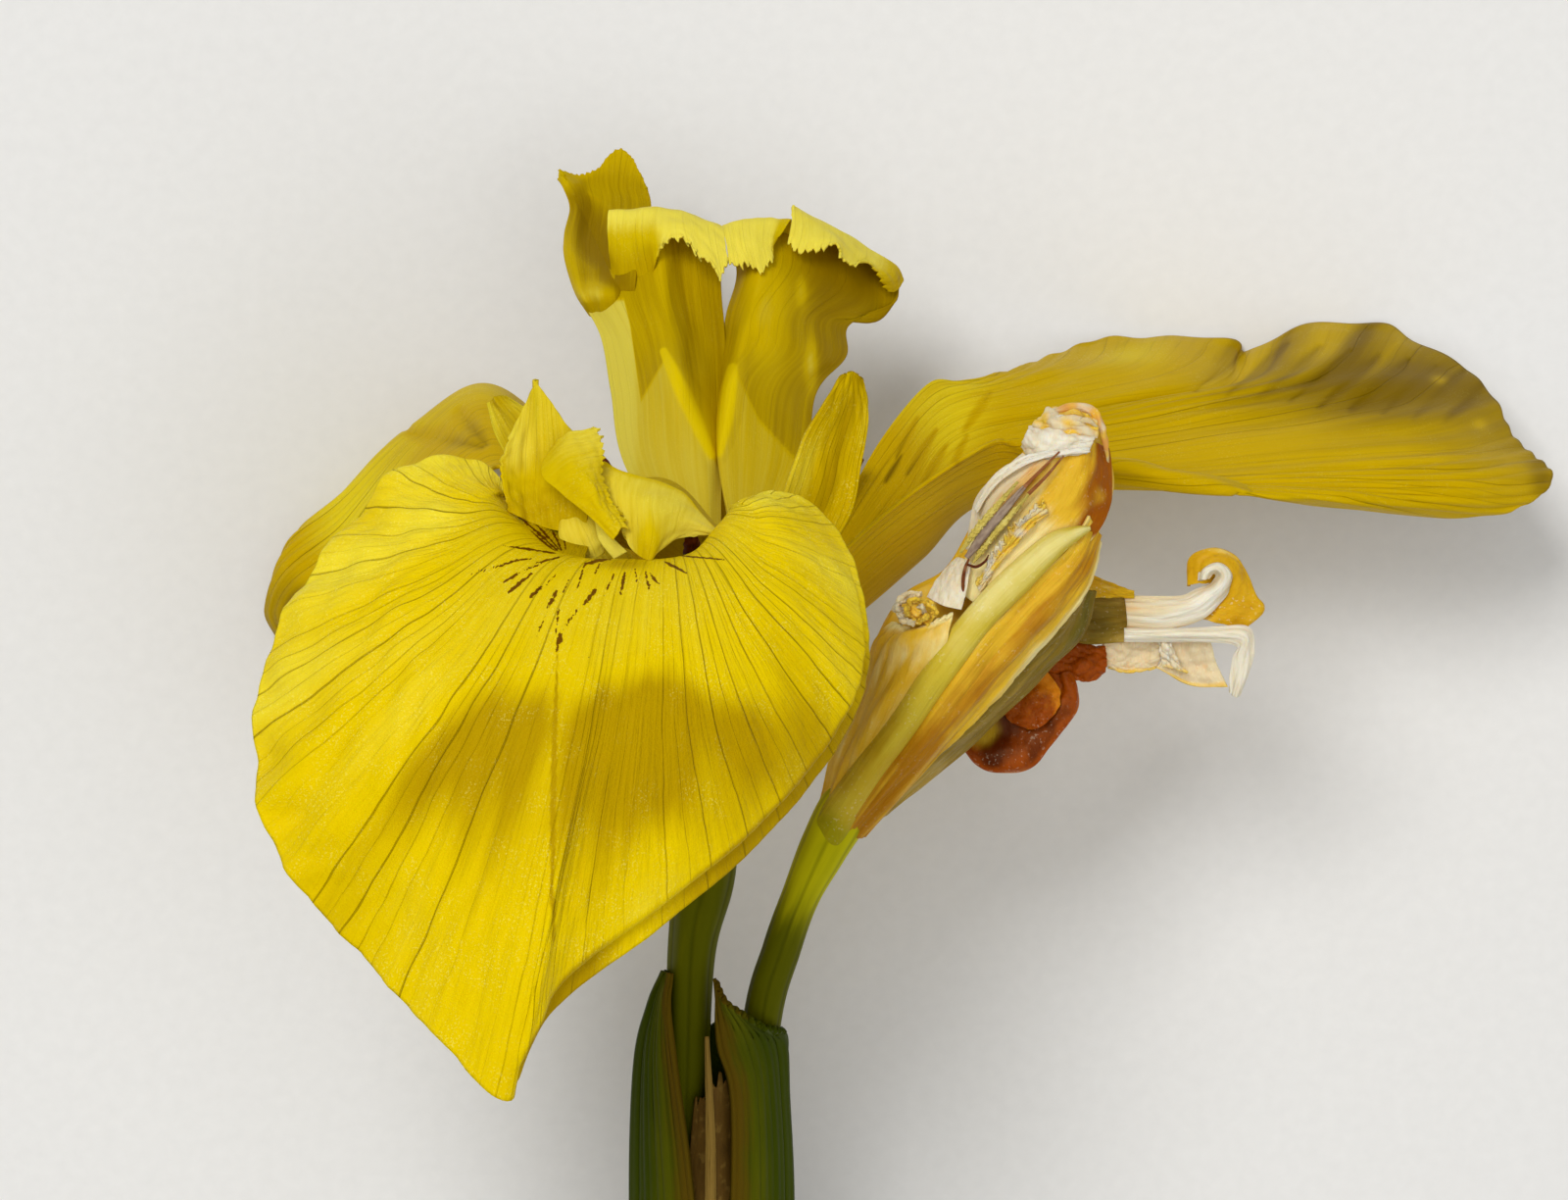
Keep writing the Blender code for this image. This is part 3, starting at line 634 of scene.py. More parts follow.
FRONT_THROAT = [
    (-19.5, 7, 15.5), (-18, 5, 17.5), (-15.5, 3, 19.5), (-11, 2.5, 21), (-6.5, 3, 19), (-4.5, 5, 16),
    (-3.5, 6, 15),
]
FRONT_MARGIN = [
    (-19.3, 7.6, 15.3), (-21.5, 9, 14.5), (-26.3, 8.3, 15.8), (-30.5, 3.4, 17.8), (-34, -1.8, 19.8),
    (-35.8, -7.8, 21.8),
    (-35.2, -14.5, 24), (-32, -20, 26), (-27.5, -24.5, 28), (-23, -29, 31), (-18, -33, 33),
    (-14.5, -27, 30.5),
    (-8, -22, 28), (-2, -17, 24.5), (2.5, -12, 21), (5.5, -7, 18.5), (6, -2.5, 16.5), (4.5, 3, 14.5),
    (2, 6.5, 13.5), (-1, 7.5, 13.5), (-3.3, 6.4, 14.6),
]
WALL_STROKES = [
    (-18.7, 6.1, -15.5, 3.3, 0.09), (-17.5, 4.7, -15.6, 3.2, 0.08), (-17.3, 5.4, -15.4, 3.4, 0.07),
    (-16.1, 5.0, -15.2, 3.3, 0.08), (-15.3, 4.9, -14.9, 3.3, 0.06), (-18.9, 5.0, -16.2, 3.4, 0.06),
]
FRONT_STROKES = [
    (-19.1, 3.6, -15.6, 3.05, 0.08), (-19.7, 2.1, -18.3, 2.5, 0.08), (-18.6, 2.5, -17.2, 2.7, 0.09),
    (-21.1, 1.7, -20.2, 1.95, 0.06), (-18.9, 1.1, -17.9, 1.75, 0.12), (-18.6, 0.4, -17.1, 1.65, 0.12),
    (-17.1, 0.1, -16.3, 0.8, 0.13), (-16.8, 2.4, -15.3, 2.75, 0.09), (-15.9, -0.7, -15.3, 0.5, 0.15),
    (-16.6, -2.8, -15.8, -0.8, 0.06), (-15.25, -2.2, -15.1, -0.6, 0.07), (-15.2, -3.4, -14.85, -2.1, 0.15),
    (-14.9, -2.2, -13.8, -0.7, 0.08), (-13.9, 0.7, -13.5, 2.3, 0.07), (-13.5, -0.5, -12.7, 0.6, 0.14),
    (-13.5, 2.3, -11.4, 2.8, 0.14), (-12.1, 0.2, -11.5, 1.6, 0.07), (-11.0, 0.3, -10.75, 1.7, 0.13),
    (-9.4, 1.8, -9.1, 0.6, 0.08), (-9.1, 1.7, -8.5, 1.0, 0.1), (-8.1, 2.45, -6.6, 1.7, 0.09),
    (-7.3, 2.9, -3.9, 2.6, 0.05), (-17.6, 1.9, -16.5, 2.3, 0.06), (-16.1, 0.9, -15.4, 1.6, 0.07),
    (-14.9, 0.4, -14.4, 1.5, 0.06), (-10.1, 2.0, -9.9, 1.0, 0.06), (-12.8, 1.6, -12.5, 2.3, 0.07),
]
LEFT_THROAT = [(-20, 9.5, -12), (-21.5, 13.5, -20), (-17, 12.5, -26)]
LEFT_MARGIN = [
    (-23.5, 8, -10), (-30.5, 0, -14), (-34.5, -8, -19), (-36, -15, -25), (-39, -12.5, -30.5),
    (-40.3, -6, -33.5),
    (-38.8, 0.4, -34.7), (-32.5, 6.2, -34.8), (-26, 10.6, -34), (-20.5, 12.6, -30.5),
]
RIGHT_THROAT = [(14.5, 11.2, -7), (16.5, 7.8, -12), (14, 11, -17), (10.6, 16, -18.5)]
RIGHT_MARGIN = [
    (20, 12, -9), (24.5, 9.7, -10), (29, 8.9, -10.6), (33.5, 8.1, -11.2), (38, 6.8, -12), (43, 6.4, -13.2),
    (48, 6.4, -14.6), (52.5, 6.5, -16), (55.4, 7.3, -17.8), (57.2, 8.8, -20), (56.2, 10.4, -22.2),
    (54.6, 12.4, -25), (53.6, 15.4, -27.6), (51.6, 18.0, -30.6), (48.6, 19.9, -32.8), (46.6, 21.6, -33.8),
    (43.5, 21.9, -34.2), (40.3, 21.5, -34.4), (37.8, 20.4, -34.6), (35.8, 19.2, -34.6), (34.8, 19.9, -34.2),
    (30.0, 20.2, -34.4), (25.4, 19.8, -33.2), (22.0, 18.8, -31), (19.0, 17.5, -28.4), (17, 16.5, -25),
]


def make_fall_front():
    """The near fall: a shield that turns over its throat, with fine creases along its veins, a waved margin on one
    side and a margin turned down on the other. Its rows lie closest where the signal lines are."""
    along = np.concatenate([np.linspace(0, 0.34, 15)[:-1], np.linspace(0.34, 0.5, 61)[:-1],
                            np.linspace(0.5, 1, 91)])
    p = loft([
        base_row(FALL_FRONT, 20),
        [(-13, 0.5, 9), (-8, -3, 11.5), (-3.5, 0.5, 9.5)],
        FRONT_THROAT,
        between(FRONT_THROAT, FRONT_MARGIN, 0.35, (0, 0.3, 6)),
        between(FRONT_THROAT, FRONT_MARGIN, 0.7, (0, 0, 4)),
        FRONT_MARGIN,
    ], 291, along)
    v, u = parameters(p, along)
    n = normals(p)
    n = n * np.sign(n[120, 145, 2])
    outer = smooth(v, 0.72, 1)
    wave = 0.45 * outer * bell(u, 0.27, 0.17) * np.sin(2 * math.pi * (u * 15 + 0.35 * np.sin(u * 40)))
    wave = wave + 0.2 * smooth(v, 0.9, 1) * wander(u * 34, v, 6) * smooth(u, 0.5, 0.4)
    left = 0.35 + 0.65 * smooth(u, 0.6, 0.3)
    crease = 0.11 * np.sin(2 * math.pi * (u * 36 + 1.2 * wander(u * 3, v * 1.5, 5))) * smooth(v, 0.48, 0.8)
    crease = crease + 0.06 * smooth(v, 0.55, 0.85) * np.sin(2 * math.pi * (u * 80 + 2.0 * wander(u * 4, v * 2, 7)))
    crease = crease + 0.1 * smooth(v, 0.5, 0.75) * wander(u * 34, v * 9, 15)
    rolled = smooth(v, 0.945, 0.965) * smooth(u, 0.485, 0.52) * smooth(u, 0.86, 0.76)
    soft = 0.3 * wander(u * 2.2, v * 2.0, 11) * smooth(v, 0.45, 0.7)
    p = moved(p, n, wave + crease * left * smooth(u, 0.02, 0.16) + soft - 0.8 * rolled)
    x, y = p[..., 0], p[..., 1]
    # The band is painted shade across the middle of the blade, below a wavy edge.
    edge = -4.6 - 0.02 * (x + 10) ** 2 + 0.8 * wander(u * 5, v * 2, 16)
    painted_shade_band = smooth(y - edge, 1.2, -3.4) * smooth(y, -24, -8) * smooth(x, -31, -16) * smooth(x, 6, -5)
    painted_shade_band = painted_shade_band * (1.05 + 0.35 * wander(u * 26, v * 3, 20)) + 0.3 * smooth(v, 0.5, 0.7) * wander(u * 20, v * 2, 22)
    # Painted light and shade in the tint: the blade is lighter at the throat's lip, towards the lower left and on the
    # right shoulder, partly its own paler colour and partly painted light. It is darker towards its base inside the
    # throat, as painted shade.
    tint = 0.05 - 1.0 * painted_shade_band + 0.2 * bell(v, 0.5, 0.07) + 0.55 * smooth(v, 0.5, 0.95) * smooth(u, 0.42, 0.15)
    tint = tint + 0.6 * smooth(u, 0.72, 0.95) * smooth(v, 0.45, 0.8) - 0.8 * smooth(v, 0.38, 0.1)
    # A blot under the stigma's lip is a painted shadow. The rim turned down at the margin, and the crease along it, are
    # painted darker as shade.
    tint = tint - 0.9 * blot(p, -10.8, 2.3, 2.0, 0.55) - 0.75 * rolled - 0.5 * bell(v, 0.945, 0.006) * smooth(
        u, 0.485, 0.52) * smooth(u, 0.86, 0.76)
    marks = dashes(p, FRONT_STROKES) * smooth(v, 0.3, 0.34) * smooth(v, 0.62, 0.58)
    tint = tint - 1.1 * dashes(p, [(-15.1, -3.8, -15.3, -22.5, 0.09)]) * smooth(v, 0.4, 0.5)
    sheet("fall_front", p, FALL_SKIN, "petal", "fall_front", along=along, tint=tint, marks=marks)
    wall = patch([
        [(-20.0, 7.5, 14.9), (-18.3, 5.4, 16.8), (-15.9, 3.4, 18.7), (-13.6, 2.75, 19.5)],
        [(-18.6, 7.8, 13.8), (-17.0, 6.4, 14.8), (-15.2, 5.0, 15.6), (-13.2, 4.2, 15.8)],
        [(-16.4, 8.4, 12.4), (-15.0, 7.4, 13.0), (-13.6, 6.4, 13.4), (-12.2, 5.6, 13.6)],
    ], 161, 91)
    sheet("throat_wall", wall, FALL_SKIN, "petal", thickness=CREST_WALL, tint=-0.55,
          marks=dashes(wall, WALL_STROKES))


def make_fall_left():
    """The fall behind and to the left: it arches over and hangs to the table."""
    p = loft([
        base_row(FALL_LEFT, -20),
        [(-12.5, 3.5, -5), (-12, 1, -9.5), (-9, 4, -12.5)],
        LEFT_THROAT,
        between(LEFT_THROAT, LEFT_MARGIN, 0.4, (-3, 4.5, -1)),
        between(LEFT_THROAT, LEFT_MARGIN, 0.75, (-3, 4, 0)),
        LEFT_MARGIN,
    ], 221, 161)
    v, u = parameters(p)
    wave = 0.25 * smooth(v, 0.75, 1) * np.sin(2 * math.pi * (u * 9 + 0.2)) * smooth(u, 0.0, 0.2)
    crease = 0.06 * smooth(v, 0.5, 0.8) * np.sin(2 * math.pi * (u * 30 + 1.2 * wander(u * 3, v, 8)))
    crease = crease + 0.35 * wander(u * 2.5, v * 2.2, 17) * smooth(v, 0.35, 0.5)
    flatter, higher = blot(p, -34.0, 8.5, 4.6, 5.0), blot(p, -23.0, 14.6, 4.2, 3.0)
    p = moved(p, normals(p), wave * smooth(u, 0.95, 0.6) + crease)
    tucked = smooth(p[..., 1], -0.6, -4.5) * smooth(p[..., 0], -33, -37)
    p = moved(moved(p, (1.1, -1.5, 0), flatter), (0.1, 1.8, 0), higher)
    p = moved(p, (1.9, 0, 0), tucked)
    p = moved(p, (0.8, -0.96, 0), blot(p, -35.0, 3.0, 3.4, 3.4))
    tint = 0.05 + 0.3 * wander(u * 1.6, v * 1.6, 21) + 0.9 * blot(p, -31, 6, 6, 4)
    # The two creases are dented and painted darker as the shade in them. The blot near the front fall's margin is a
    # painted shadow that the front fall casts.
    folds = dashes(p, [(-28.5, 12.7, -22.4, 11.4, 0.55), (-24.4, 14.1, -22.1, 11.6, 0.5)])
    p = moved(p, -0.3 * normals(p), folds)
    tint = tint - 0.5 * folds - 0.5 * blot(p, -37.0, -0.6, 1.6, 2.2)
    sheet("fall_left", p, SIDE_FALL_SKIN, "petal", "fall_left", tint=tint)


def make_fall_right():
    """The fall at the right: a deep channel that opens into a long blade with a ruffled far margin. The middle rows
    are slid along the blade, so that its veins leave the near side and sweep up to the far margin."""
    t = np.linspace(0, 1, 25)
    sweep = np.sin(math.pi * t**1.2)[:, None] * np.stack([5.5 * np.ones(25), -2.4 * smooth(t, 0.2, 0.65),
                                                          3.2 * np.ones(25)], 1)
    p = loft([
        base_row(FALL_RIGHT, 20),
        [(3, 2, -1.4), (4.4, -1.6, -5), (3.4, 5, -8.5)],
        [(8.5, 7.2, -3.6), (10, 3.2, -9), (7, 11.6, -13.5)],
        RIGHT_THROAT,
        between(RIGHT_THROAT, RIGHT_MARGIN, 0.35, (0, 0.8, 1.5)) + 0.55 * sweep,
        between(RIGHT_THROAT, RIGHT_MARGIN, 0.7, (0, 0.6, 2.2)) + 0.85 * sweep,
        RIGHT_MARGIN,
    ], 301, 181)
    v, u = parameters(p)
    far = smooth(u, 0.5, 0.62) * smooth(u, 0.97, 0.85)
    wave = 0.8 * smooth(v, 0.74, 0.95) * far * np.sin(2 * math.pi * (u * 9.5 + 0.1 + 0.2 * wander(u * 2, 0, 18)))
    crease = 0.1 * smooth(v, 0.5, 0.8) * np.sin(2 * math.pi * (u * 26 + 1.5 * wander(u * 3, v, 9)))
    crease = crease + 0.12 * smooth(v, 0.5, 0.8) * wander(u * 16, v * 4, 19)
    p = moved(p, normals(p), crease + 0.4 * wander(u * 2.5, v * 2, 14) * smooth(v, 0.5, 0.8))
    p = moved(p, (0, 0, 0.9), wave * smooth(v, 1.0, 0.97))
    # The fold streaks are dented, and painted darker along them as shade.
    folds = [(31 + 2.3 * i, 15.6 - 0.3 * i, 36.6 + 2.2 * i, 19.9 - 0.35 * i, 0.2 + 0.07 * (i % 3)) for i in range(9)]
    shade = dashes(p, folds) * (0.75 + 0.35 * wander(u * 30, v * 6, 35))
    # light is two painted highlights: small bright spots on the blade.
    light = blot(p, 49.7, 16.6, 0.7, 0.4) + 0.8 * blot(p, 52.3, 13.1, 0.6, 0.4)
    p = moved(p, (0, 0, -0.3), shade)
    # In the tint, a broad blot over the blade is painted shade, and the ruffle's raised crests are painted lighter, as
    # light falling on them. Further down, the whole fall is made 0.2 darker as painted shade.
    tint = 0.05 + 0.2 * smooth(u, 0.4, 0.05) * smooth(v, 0.6, 0.9) + 0.9 * blot(p, 12, 13.5, 4, 4)
    tint = tint - 0.45 * blot(p, 44, 15.5, 8, 3) - 0.3 * shade + 0.5 * light + 0.25 * wander(u * 2, v * 2, 31)
    tint = tint + 0.4 * blot(p, 24, 18.6, 4, 1) + 0.4 * wave - 0.5 * blot(p, 56.5, 8.8, 1.2, 1.6)
    strokes = [(8.2, 10.4, 9.8, 13.4, 0.2), (9.0, 9.2, 11.2, 12.6, 0.25), (10.2, 8.6, 12.0, 11.4, 0.2),
               (7.4, 8.6, 8.6, 10.6, 0.2), (12.4, 9.8, 13.6, 12.2, 0.2), (13.4, 12.6, 15.4, 15.4, 0.25)]
    sheet("fall_right", p, SIDE_FALL_SKIN, "petal", "fall_right", tint=tint - 0.2 - 0.7 * dashes(p, strokes))


def make_standards():
    """The three small standards: narrow, blunt, a little hollow."""
    shapes = {
        "standard_right": [
            base_row(STANDARD_RIGHT, 18),
            [(-2.6, -0.5, 4.3), (-1.2, -0.9, 3.6), (0.1, -1, 3)],
            [(-0.1, 7.5, 7.5), (2.3, 6.6, 6.2), (4.4, 5.5, 6)],
            [(1.2, 11, 8.3), (3.4, 10.6, 6.9), (5.5, 10, 6.6)],
            [(2.9, 13.8, 8.6), (4.4, 13.7, 7.6), (5.95, 13.2, 7.1)],
            [(4.1, 15.7, 8.4), (4.8, 16.0, 8.1), (5.6, 15.4, 7.8)],
        ],
        "standard_left": [
            base_row(STANDARD_LEFT, 18),
            [(-11, -1, 0.5), (-10.5, -0.5, 1.5), (-9.5, 0, 2.4)],
            [(-17, 6, -1.5), (-15.5, 7, -0.5), (-13.5, 8, 0.8)],
            [(-20.5, 11.5, -4), (-19, 12, -3), (-17, 12.6, -2)],
            [(-21.3, 14.2, -5), (-20.8, 14.6, -4.6), (-20.1, 14.7, -4.2)],
        ],
        "standard_back": [
            base_row(STANDARD_BACK, 18),
            [(-2.6, 1.5, -6), (-4, 1.5, -6.6), (-5.4, 1.5, -6)],
            [(-2.2, 9, -10.5), (-4.6, 9, -11.2), (-7, 9, -10.5)],
            [(-2.6, 15, -14), (-4.8, 15, -14.4), (-7, 15, -14)],
            [(-4.2, 18.8, -15.5), (-4.9, 19, -15.6), (-5.6, 18.8, -15.5)],
        ],
    }
    for seed, (name, rows) in enumerate(shapes.items()):
        p = crumpled(loft(rows, 71, 141), 0.1, 2.4, 40 + 2 * seed)
        v, u = parameters(p)
        tint = -0.2 + 0.35 * wander(u * 1.5, v * 2, 50 + seed) - 0.3 * smooth(v, 0.9, 1) + 0.4 * smooth(u, 0.1, 0)
        tint = tint + 0.6 * (name == "standard_left")
        sheet(name, p, STANDARD_SKIN, "petal", name, tint=tint)


def make_style_arm_front():
    """The near style arm: a trough that ends in a pointed left crest, a folded flap in front of it, and a toothed
    right crest, over the stigma's lip."""
    rise = COLUMN_HEIGHT + SEAT
    arm = patch([
        base_row(FALL_FRONT, 42, radius=1.5, rise=rise),
        [(-12, 4, 8.5), (-8, 8, 7.5), (-4.2, 4.5, 8.5)],
        [(-17, 6, 15), (-14.5, 8, 14.4), (-11, 8, 14.2), (-8.5, 7, 14.2), (-5.5, 4.8, 13.8)],
        [(-18.4, 7.3, 16.7), (-16.5, 8.6, 16), (-13.2, 8.6, 16), (-11, 7.7, 16.4), (-8.9, 6.7, 16.4),
         (-6.2, 5, 15.2)],
    ], 121, 101)
    sheet("style_arm_front", arm, STYLE_SKIN, "style", "style_arm_front", thickness=FOLD_WALL, tint=-0.4)
    crest = patch([
        [(-18.8, 6.0, 17.4), (-16.5, 5.0, 16.6), (-13.6, 4.4, 17.0)],
        [(-19.35, 7.9, 18.0), (-16.8, 7.2, 16.6), (-13.4, 6.4, 17.2)],
        [(-19.3, 9.8, 17.9), (-16.8, 9.4, 16.8), (-13.6, 8.6, 17.2)],
        [(-18.6, 11.5, 17.3), (-17.9, 13.1, 17.0), (-17.05, 15.0, 16.4), (-17.05, 15.0, 16.4),
         (-16.0, 13.6, 16.5),
         (-14.9, 12.0, 16.8), (-13.9, 10.9, 17.0)],
    ], 141, 121)
    crest = crumpled(toothed(crest, 9, 0.35, 62, "first"), 0.12, 2.2, 64)
    # Its lower part is painted darker as shade, and a blot at its left edge is painted light.
    sheet("crest_front_left", crest, STYLE_SKIN, "style", thickness=CREST_WALL,
          tint=0.35 - 0.75 * smooth(crest[..., 1], 10.8, 6.0) + 0.35 * blot(crest, -18.4, 10, 1, 3))
    flap = patch([
        [(-16.0, 10.4, 17.6), (-16.5, 8.6, 18.6), (-15.2, 7.3, 19.6), (-13.6, 6.0, 20.2), (-11.6, 4.1, 20.2)],
        [(-14.9, 11.3, 18.0), (-14.7, 9.6, 19.4), (-13.6, 7.9, 20.4), (-12.6, 6.3, 20.5), (-11.3, 4.5, 20.3)],
        [(-13.8, 11.6, 17.9), (-13.2, 10.0, 19.0), (-13.0, 8.4, 19.9), (-12.2, 6.7, 20.2),
         (-11.1, 4.9, 20.2)],
        [(-12.8, 11.75, 17.6), (-12.8, 11.75, 17.6), (-12.3, 10.3, 18.3), (-12.4, 8.8, 19.0),
         (-11.9, 7.3, 19.4),
         (-11.2, 5.9, 19.7), (-10.8, 4.8, 19.9)],
    ], 141, 101)
    flap = crumpled(toothed(flap, 15, 0.75, 66, reach=0.14), 0.09, 2.0, 68)
    v, u = parameters(flap)
    sheet("crest_front_fold", flap, STYLE_SKIN, "style", thickness=CREST_WALL,
          tint=0.2 + 0.4 * smooth(u, 0.55, 0.05) - 0.3 * smooth(v, 0.6, 0.0))
    crest = patch([
        [(-12.5, 9.5, 16.8), (-11.0, 8.7, 17.2), (-8.9, 8.2, 17.2), (-7.1, 7.4, 16.7), (-5.6, 5.8, 15.8),
         (-4.6, 4.8, 15.2)],
        [(-12.6, 8.2, 17.8), (-10.9, 7.3, 18.5), (-9.05, 6.7, 19.2), (-7.4, 6.2, 18.2), (-6.0, 5.2, 16.8),
         (-4.8, 4.6, 15.8)],
        [(-12.0, 6.6, 18.6), (-10.7, 5.3, 19.2), (-9.1, 4.7, 20.2), (-7.8, 4.9, 18.9), (-6.4, 4.8, 17.2),
         (-5.1, 4.5, 16.0)],
        [(-11.2, 5.2, 19.0), (-10.4, 3.5, 19.4), (-9.2, 2.7, 20.4), (-8.6, 3.4, 19.3), (-7.3, 4.2, 17.9),
         (-6.2, 4.4, 16.8)],
    ], 141, 101)
    crest = crumpled(toothed(crest, 9, 0.7, 72, "first", 0.12), 0.06, 1.8, 74)
    v, u = parameters(crest)
    # A band left of its fold is painted shade, and its right part is painted lighter as lit.
    sheet("crest_front_right", crest, STYLE_SKIN, "style", thickness=CREST_WALL,
          tint=0.5 - 0.9 * bell(u, 0.4, 0.1) * smooth(v, 0.35, 0.9) + 0.35 * smooth(u, 0.6, 0.9) - 0.6 * bell(v, 0, 0.05))
    lip = tube([(-14.6, 6.3, 16.2), (-14.2, 5.0, 16.9), (-13.6, 3.7, 17.0), (-13.1, 2.8, 16.8)],
               [(0.7, 0.25), (1.35, 0.45), (1.4, 0.45), (0.9, 0.25)], 48, 60,
               lambda v, u: 1 - 0.16 * bell(u, 0.25, 0.1) + 0.03 * wander(u * 3, v * 5, 75))
    stalk("stigma_lip", lip, STYLE_SKIN, "style", tint=0.5)
    strip = patch([
        [(-12.9, 5.4, 18.2), (-12.4, 5.5, 18.4)], [(-12.6, 4.1, 18.5), (-11.8, 4.4, 18.7)],
        [(-11.6, 2.8, 18.6), (-10.7, 3.3, 18.8)],
    ], 31, 61)
    sheet("stigma_edge", strip, STYLE_SKIN, "style", thickness=CREST_WALL, tint=1.3)


def make_style_arm_left():
    """The far style arm at the left: a keeled blade, painted lit below and painted in shade above, where its crests
    shade it, with a domed crest behind and a toothed one that folds forward. The crests start in front of the blade and
    sink into it."""
    blade = patch([
        base_row(FALL_LEFT, -42, radius=1.5, rise=COLUMN_HEIGHT + SEAT),
        [(-11.3, 9.3, -5), (-8.6, 9.6, -3.5), (-5.9, 9.8, -2.6), (-4.6, 10, -4.3)],
        [(-12.6, 15.2, -8.5), (-10.7, 15.3, -7.2), (-7.9, 15.4, -4.8), (-6.2, 15.3, -6.8),
         (-4.35, 15.3, -8.8)],
        [(-13.4, 19.3, -10.6), (-12.4, 19.2, -10.0), (-10.6, 19, -9.0), (-8.2, 19, -8.6), (-6.6, 19, -10.0),
         (-4.35, 19, -10.8)],
        [(-15.1, 22.5, -12.8), (-13.2, 22.4, -11.4), (-10.9, 22.4, -10.8), (-8.7, 22.4, -10.6),
         (-7.2, 22.4, -11.8),
         (-4.6, 22.2, -12.6)],
        [(-15.8, 25.0, -15.4), (-13.6, 25.4, -15), (-11.2, 26, -12.4), (-9.0, 26, -11.8), (-7.6, 26, -13.2),
         (-4.7, 25.6, -13.6)],
        [(-15.8, 26.0, -17.6), (-13.0, 26.8, -17), (-11.4, 27.7, -13.8), (-9.0, 28, -13.2), (-7.6, 27.6, -14),
         (-4.6, 27, -14)],
    ], 151, 161)
    blade = crumpled(blade, 0.07, 2.0, 76)
    # The tint paints light and shade. lit is painted light on the lower blade, below the edge of the shade that the
    # crests cast, and above it the blade is painted in shade. It is a little darker again over the trough's inner part
    # (inner). strip is painted light on the lit left margin, and the keel ridge is painted lighter in the shade as a
    # highlight along it.
    lit = below(blade, [-16, -11.7, -11.2, -10.3, -8.4, -5.5, -4], [22, 21.9, 20, 14.4, 17.7, 10.7, 8.5],
                0.25)
    inner = smooth(blade[..., 0], -9.0, -8.2) * smooth(blade[..., 1], 16, 18)
    keel = dashes(blade, [(-9.4, 26.5, -7.9, 17.0, 0.7), (-7.9, 17.0, -5.0, 10.2, 0.55)])
    strip = lit * smooth(blade[..., 0], -10.2, -11.2)
    tint = -0.45 - 0.08 * inner + 0.85 * lit + 0.5 * strip + 0.3 * keel * (1 - lit)
    blade = moved(blade, (0, 0, 0.35), keel)
    # The gold band along the lower keel is a painted highlight.
    sheet("style_arm_left", blade, SHADED_ARM_SKIN, "style", "style_arm_left", thickness=FOLD_WALL, tint=tint,
          blush=0.9 * smooth(dashes(blade, [(-8.7, 18.0, -5.3, 10.4, 0.42)]), 0.2, 0.6))
    crest = patch([
        [(-14.2, 20.9, -12.1), (-12.7, 20.6, -10.9), (-11.0, 21.4, -10.9)],
        [(-15.2, 22.4, -12.3), (-13.2, 22.6, -10.9), (-10.9, 23.2, -10.7)],
        [(-16.0, 24.8, -13.8), (-13.4, 25.0, -13.2), (-10.7, 25.4, -12.2)],
        [(-16.2, 27.0, -15.8), (-13.4, 27.2, -16.0), (-10.3, 27.4, -15.0)],
        [(-15.9, 29.0, -17.6), (-13.2, 29.6, -18.6), (-9.9, 29.2, -17.8)],
        [(-16.4, 30.6, -18.3), (-13.3, 31.2, -19.6), (-10.1, 30.4, -18.6)],
        [(-16.85, 31.3, -18.8), (-16.7, 32.0, -19.0), (-16.7, 32.0, -19.0), (-15.3, 31.7, -19.4),
         (-13.9, 32.3, -19.8), (-13.2, 33.2, -20.1), (-12.3, 33.75, -20.2), (-11.5, 33.3, -20),
         (-10.8, 32.0, -19.4), (-10.3, 30.9, -18.8)],
    ], 151, 161)
    v, u = parameters(crest)
    # The valley is a dent in the crest, painted darker as the shade in it. The crest's left edge is painted lighter as
    # lit.
    shaded_valley = dashes(crest, [(-15.6, 29.8, -13.2, 25.0, 1.1), (-13.2, 25.0, -11.0, 20.6, 0.8)])
    ruffle = blot(crest, -13.6, 22.4, 1.6, 0.8)
    crest = toothed(crest, 22, 0.3, 78, reach=0.06)
    raised = bell(u, 0.08, 0.12) - 0.7 * shaded_valley + 0.9 * ruffle
    crest = moved(crest, (0, 0, 1), raised * smooth(v, 0, 0.12))
    crest = crumpled(crest, 0.08, 1.8, 80)
    sheet("crest_left_back", crest, SHADED_ARM_SKIN, "style", thickness=FOLD_WALL,
          tint=-0.5 - 0.7 * shaded_valley + 0.35 * smooth(u, 0.25, 0.05) + 1.0 * ruffle + 0.3 * smooth(v, 0.85, 1))
    flap = patch([
        [(-12.4, 27.4, -13.6), (-9.6, 27.8, -14), (-7.2, 27.6, -14), (-4.6, 26.7, -14)],
        [(-12.85, 28.6, -12.2), (-11.1, 28.65, -12), (-9.6, 28.75, -12), (-7.3, 28.45, -12),
         (-5.9, 27.95, -12),
         (-4.5, 27.3, -12)],
        [(-12.9, 26.8, -11.8), (-11.4, 26.6, -11.0), (-9.2, 27.1, -10.1), (-7.4, 27.4, -10.0),
         (-5.9, 26.7, -10.2),
         (-4.3, 26.0, -10.6)],
        [(-12.6, 23.6, -12.4), (-11.9, 22.2, -12.0), (-10.8, 21.8, -11.8), (-9.9, 23.2, -11.4),
         (-9.3, 25.0, -10.4),
         (-8.7, 26.1, -9.7), (-7.6, 26.4, -9.5), (-6.8, 26.0, -9.4), (-6.1, 25.0, -9.4), (-5.2, 24.3, -9.5),
         (-4.6, 23.3, -9.7), (-4.6, 23.3, -9.7), (-4.1, 24.7, -10.2)],
    ], 241, 111)
    v, u = parameters(flap)
    flap = crumpled(toothed(flap, 22, 0.95 * smooth(u, 0.38, 0.48), 82, reach=0.16), 0.06, 2.4, 84)
    # Its left part, towards the hem, is painted darker as shade.
    sheet("crest_left_front", flap, STYLE_SKIN, "style", thickness=CREST_WALL,
          tint=0.9 - 1.35 * smooth(v, 0.45, 0.85) * smooth(u, 0.52, 0.36) - 0.3 * bell(v, 0.3, 0.1))


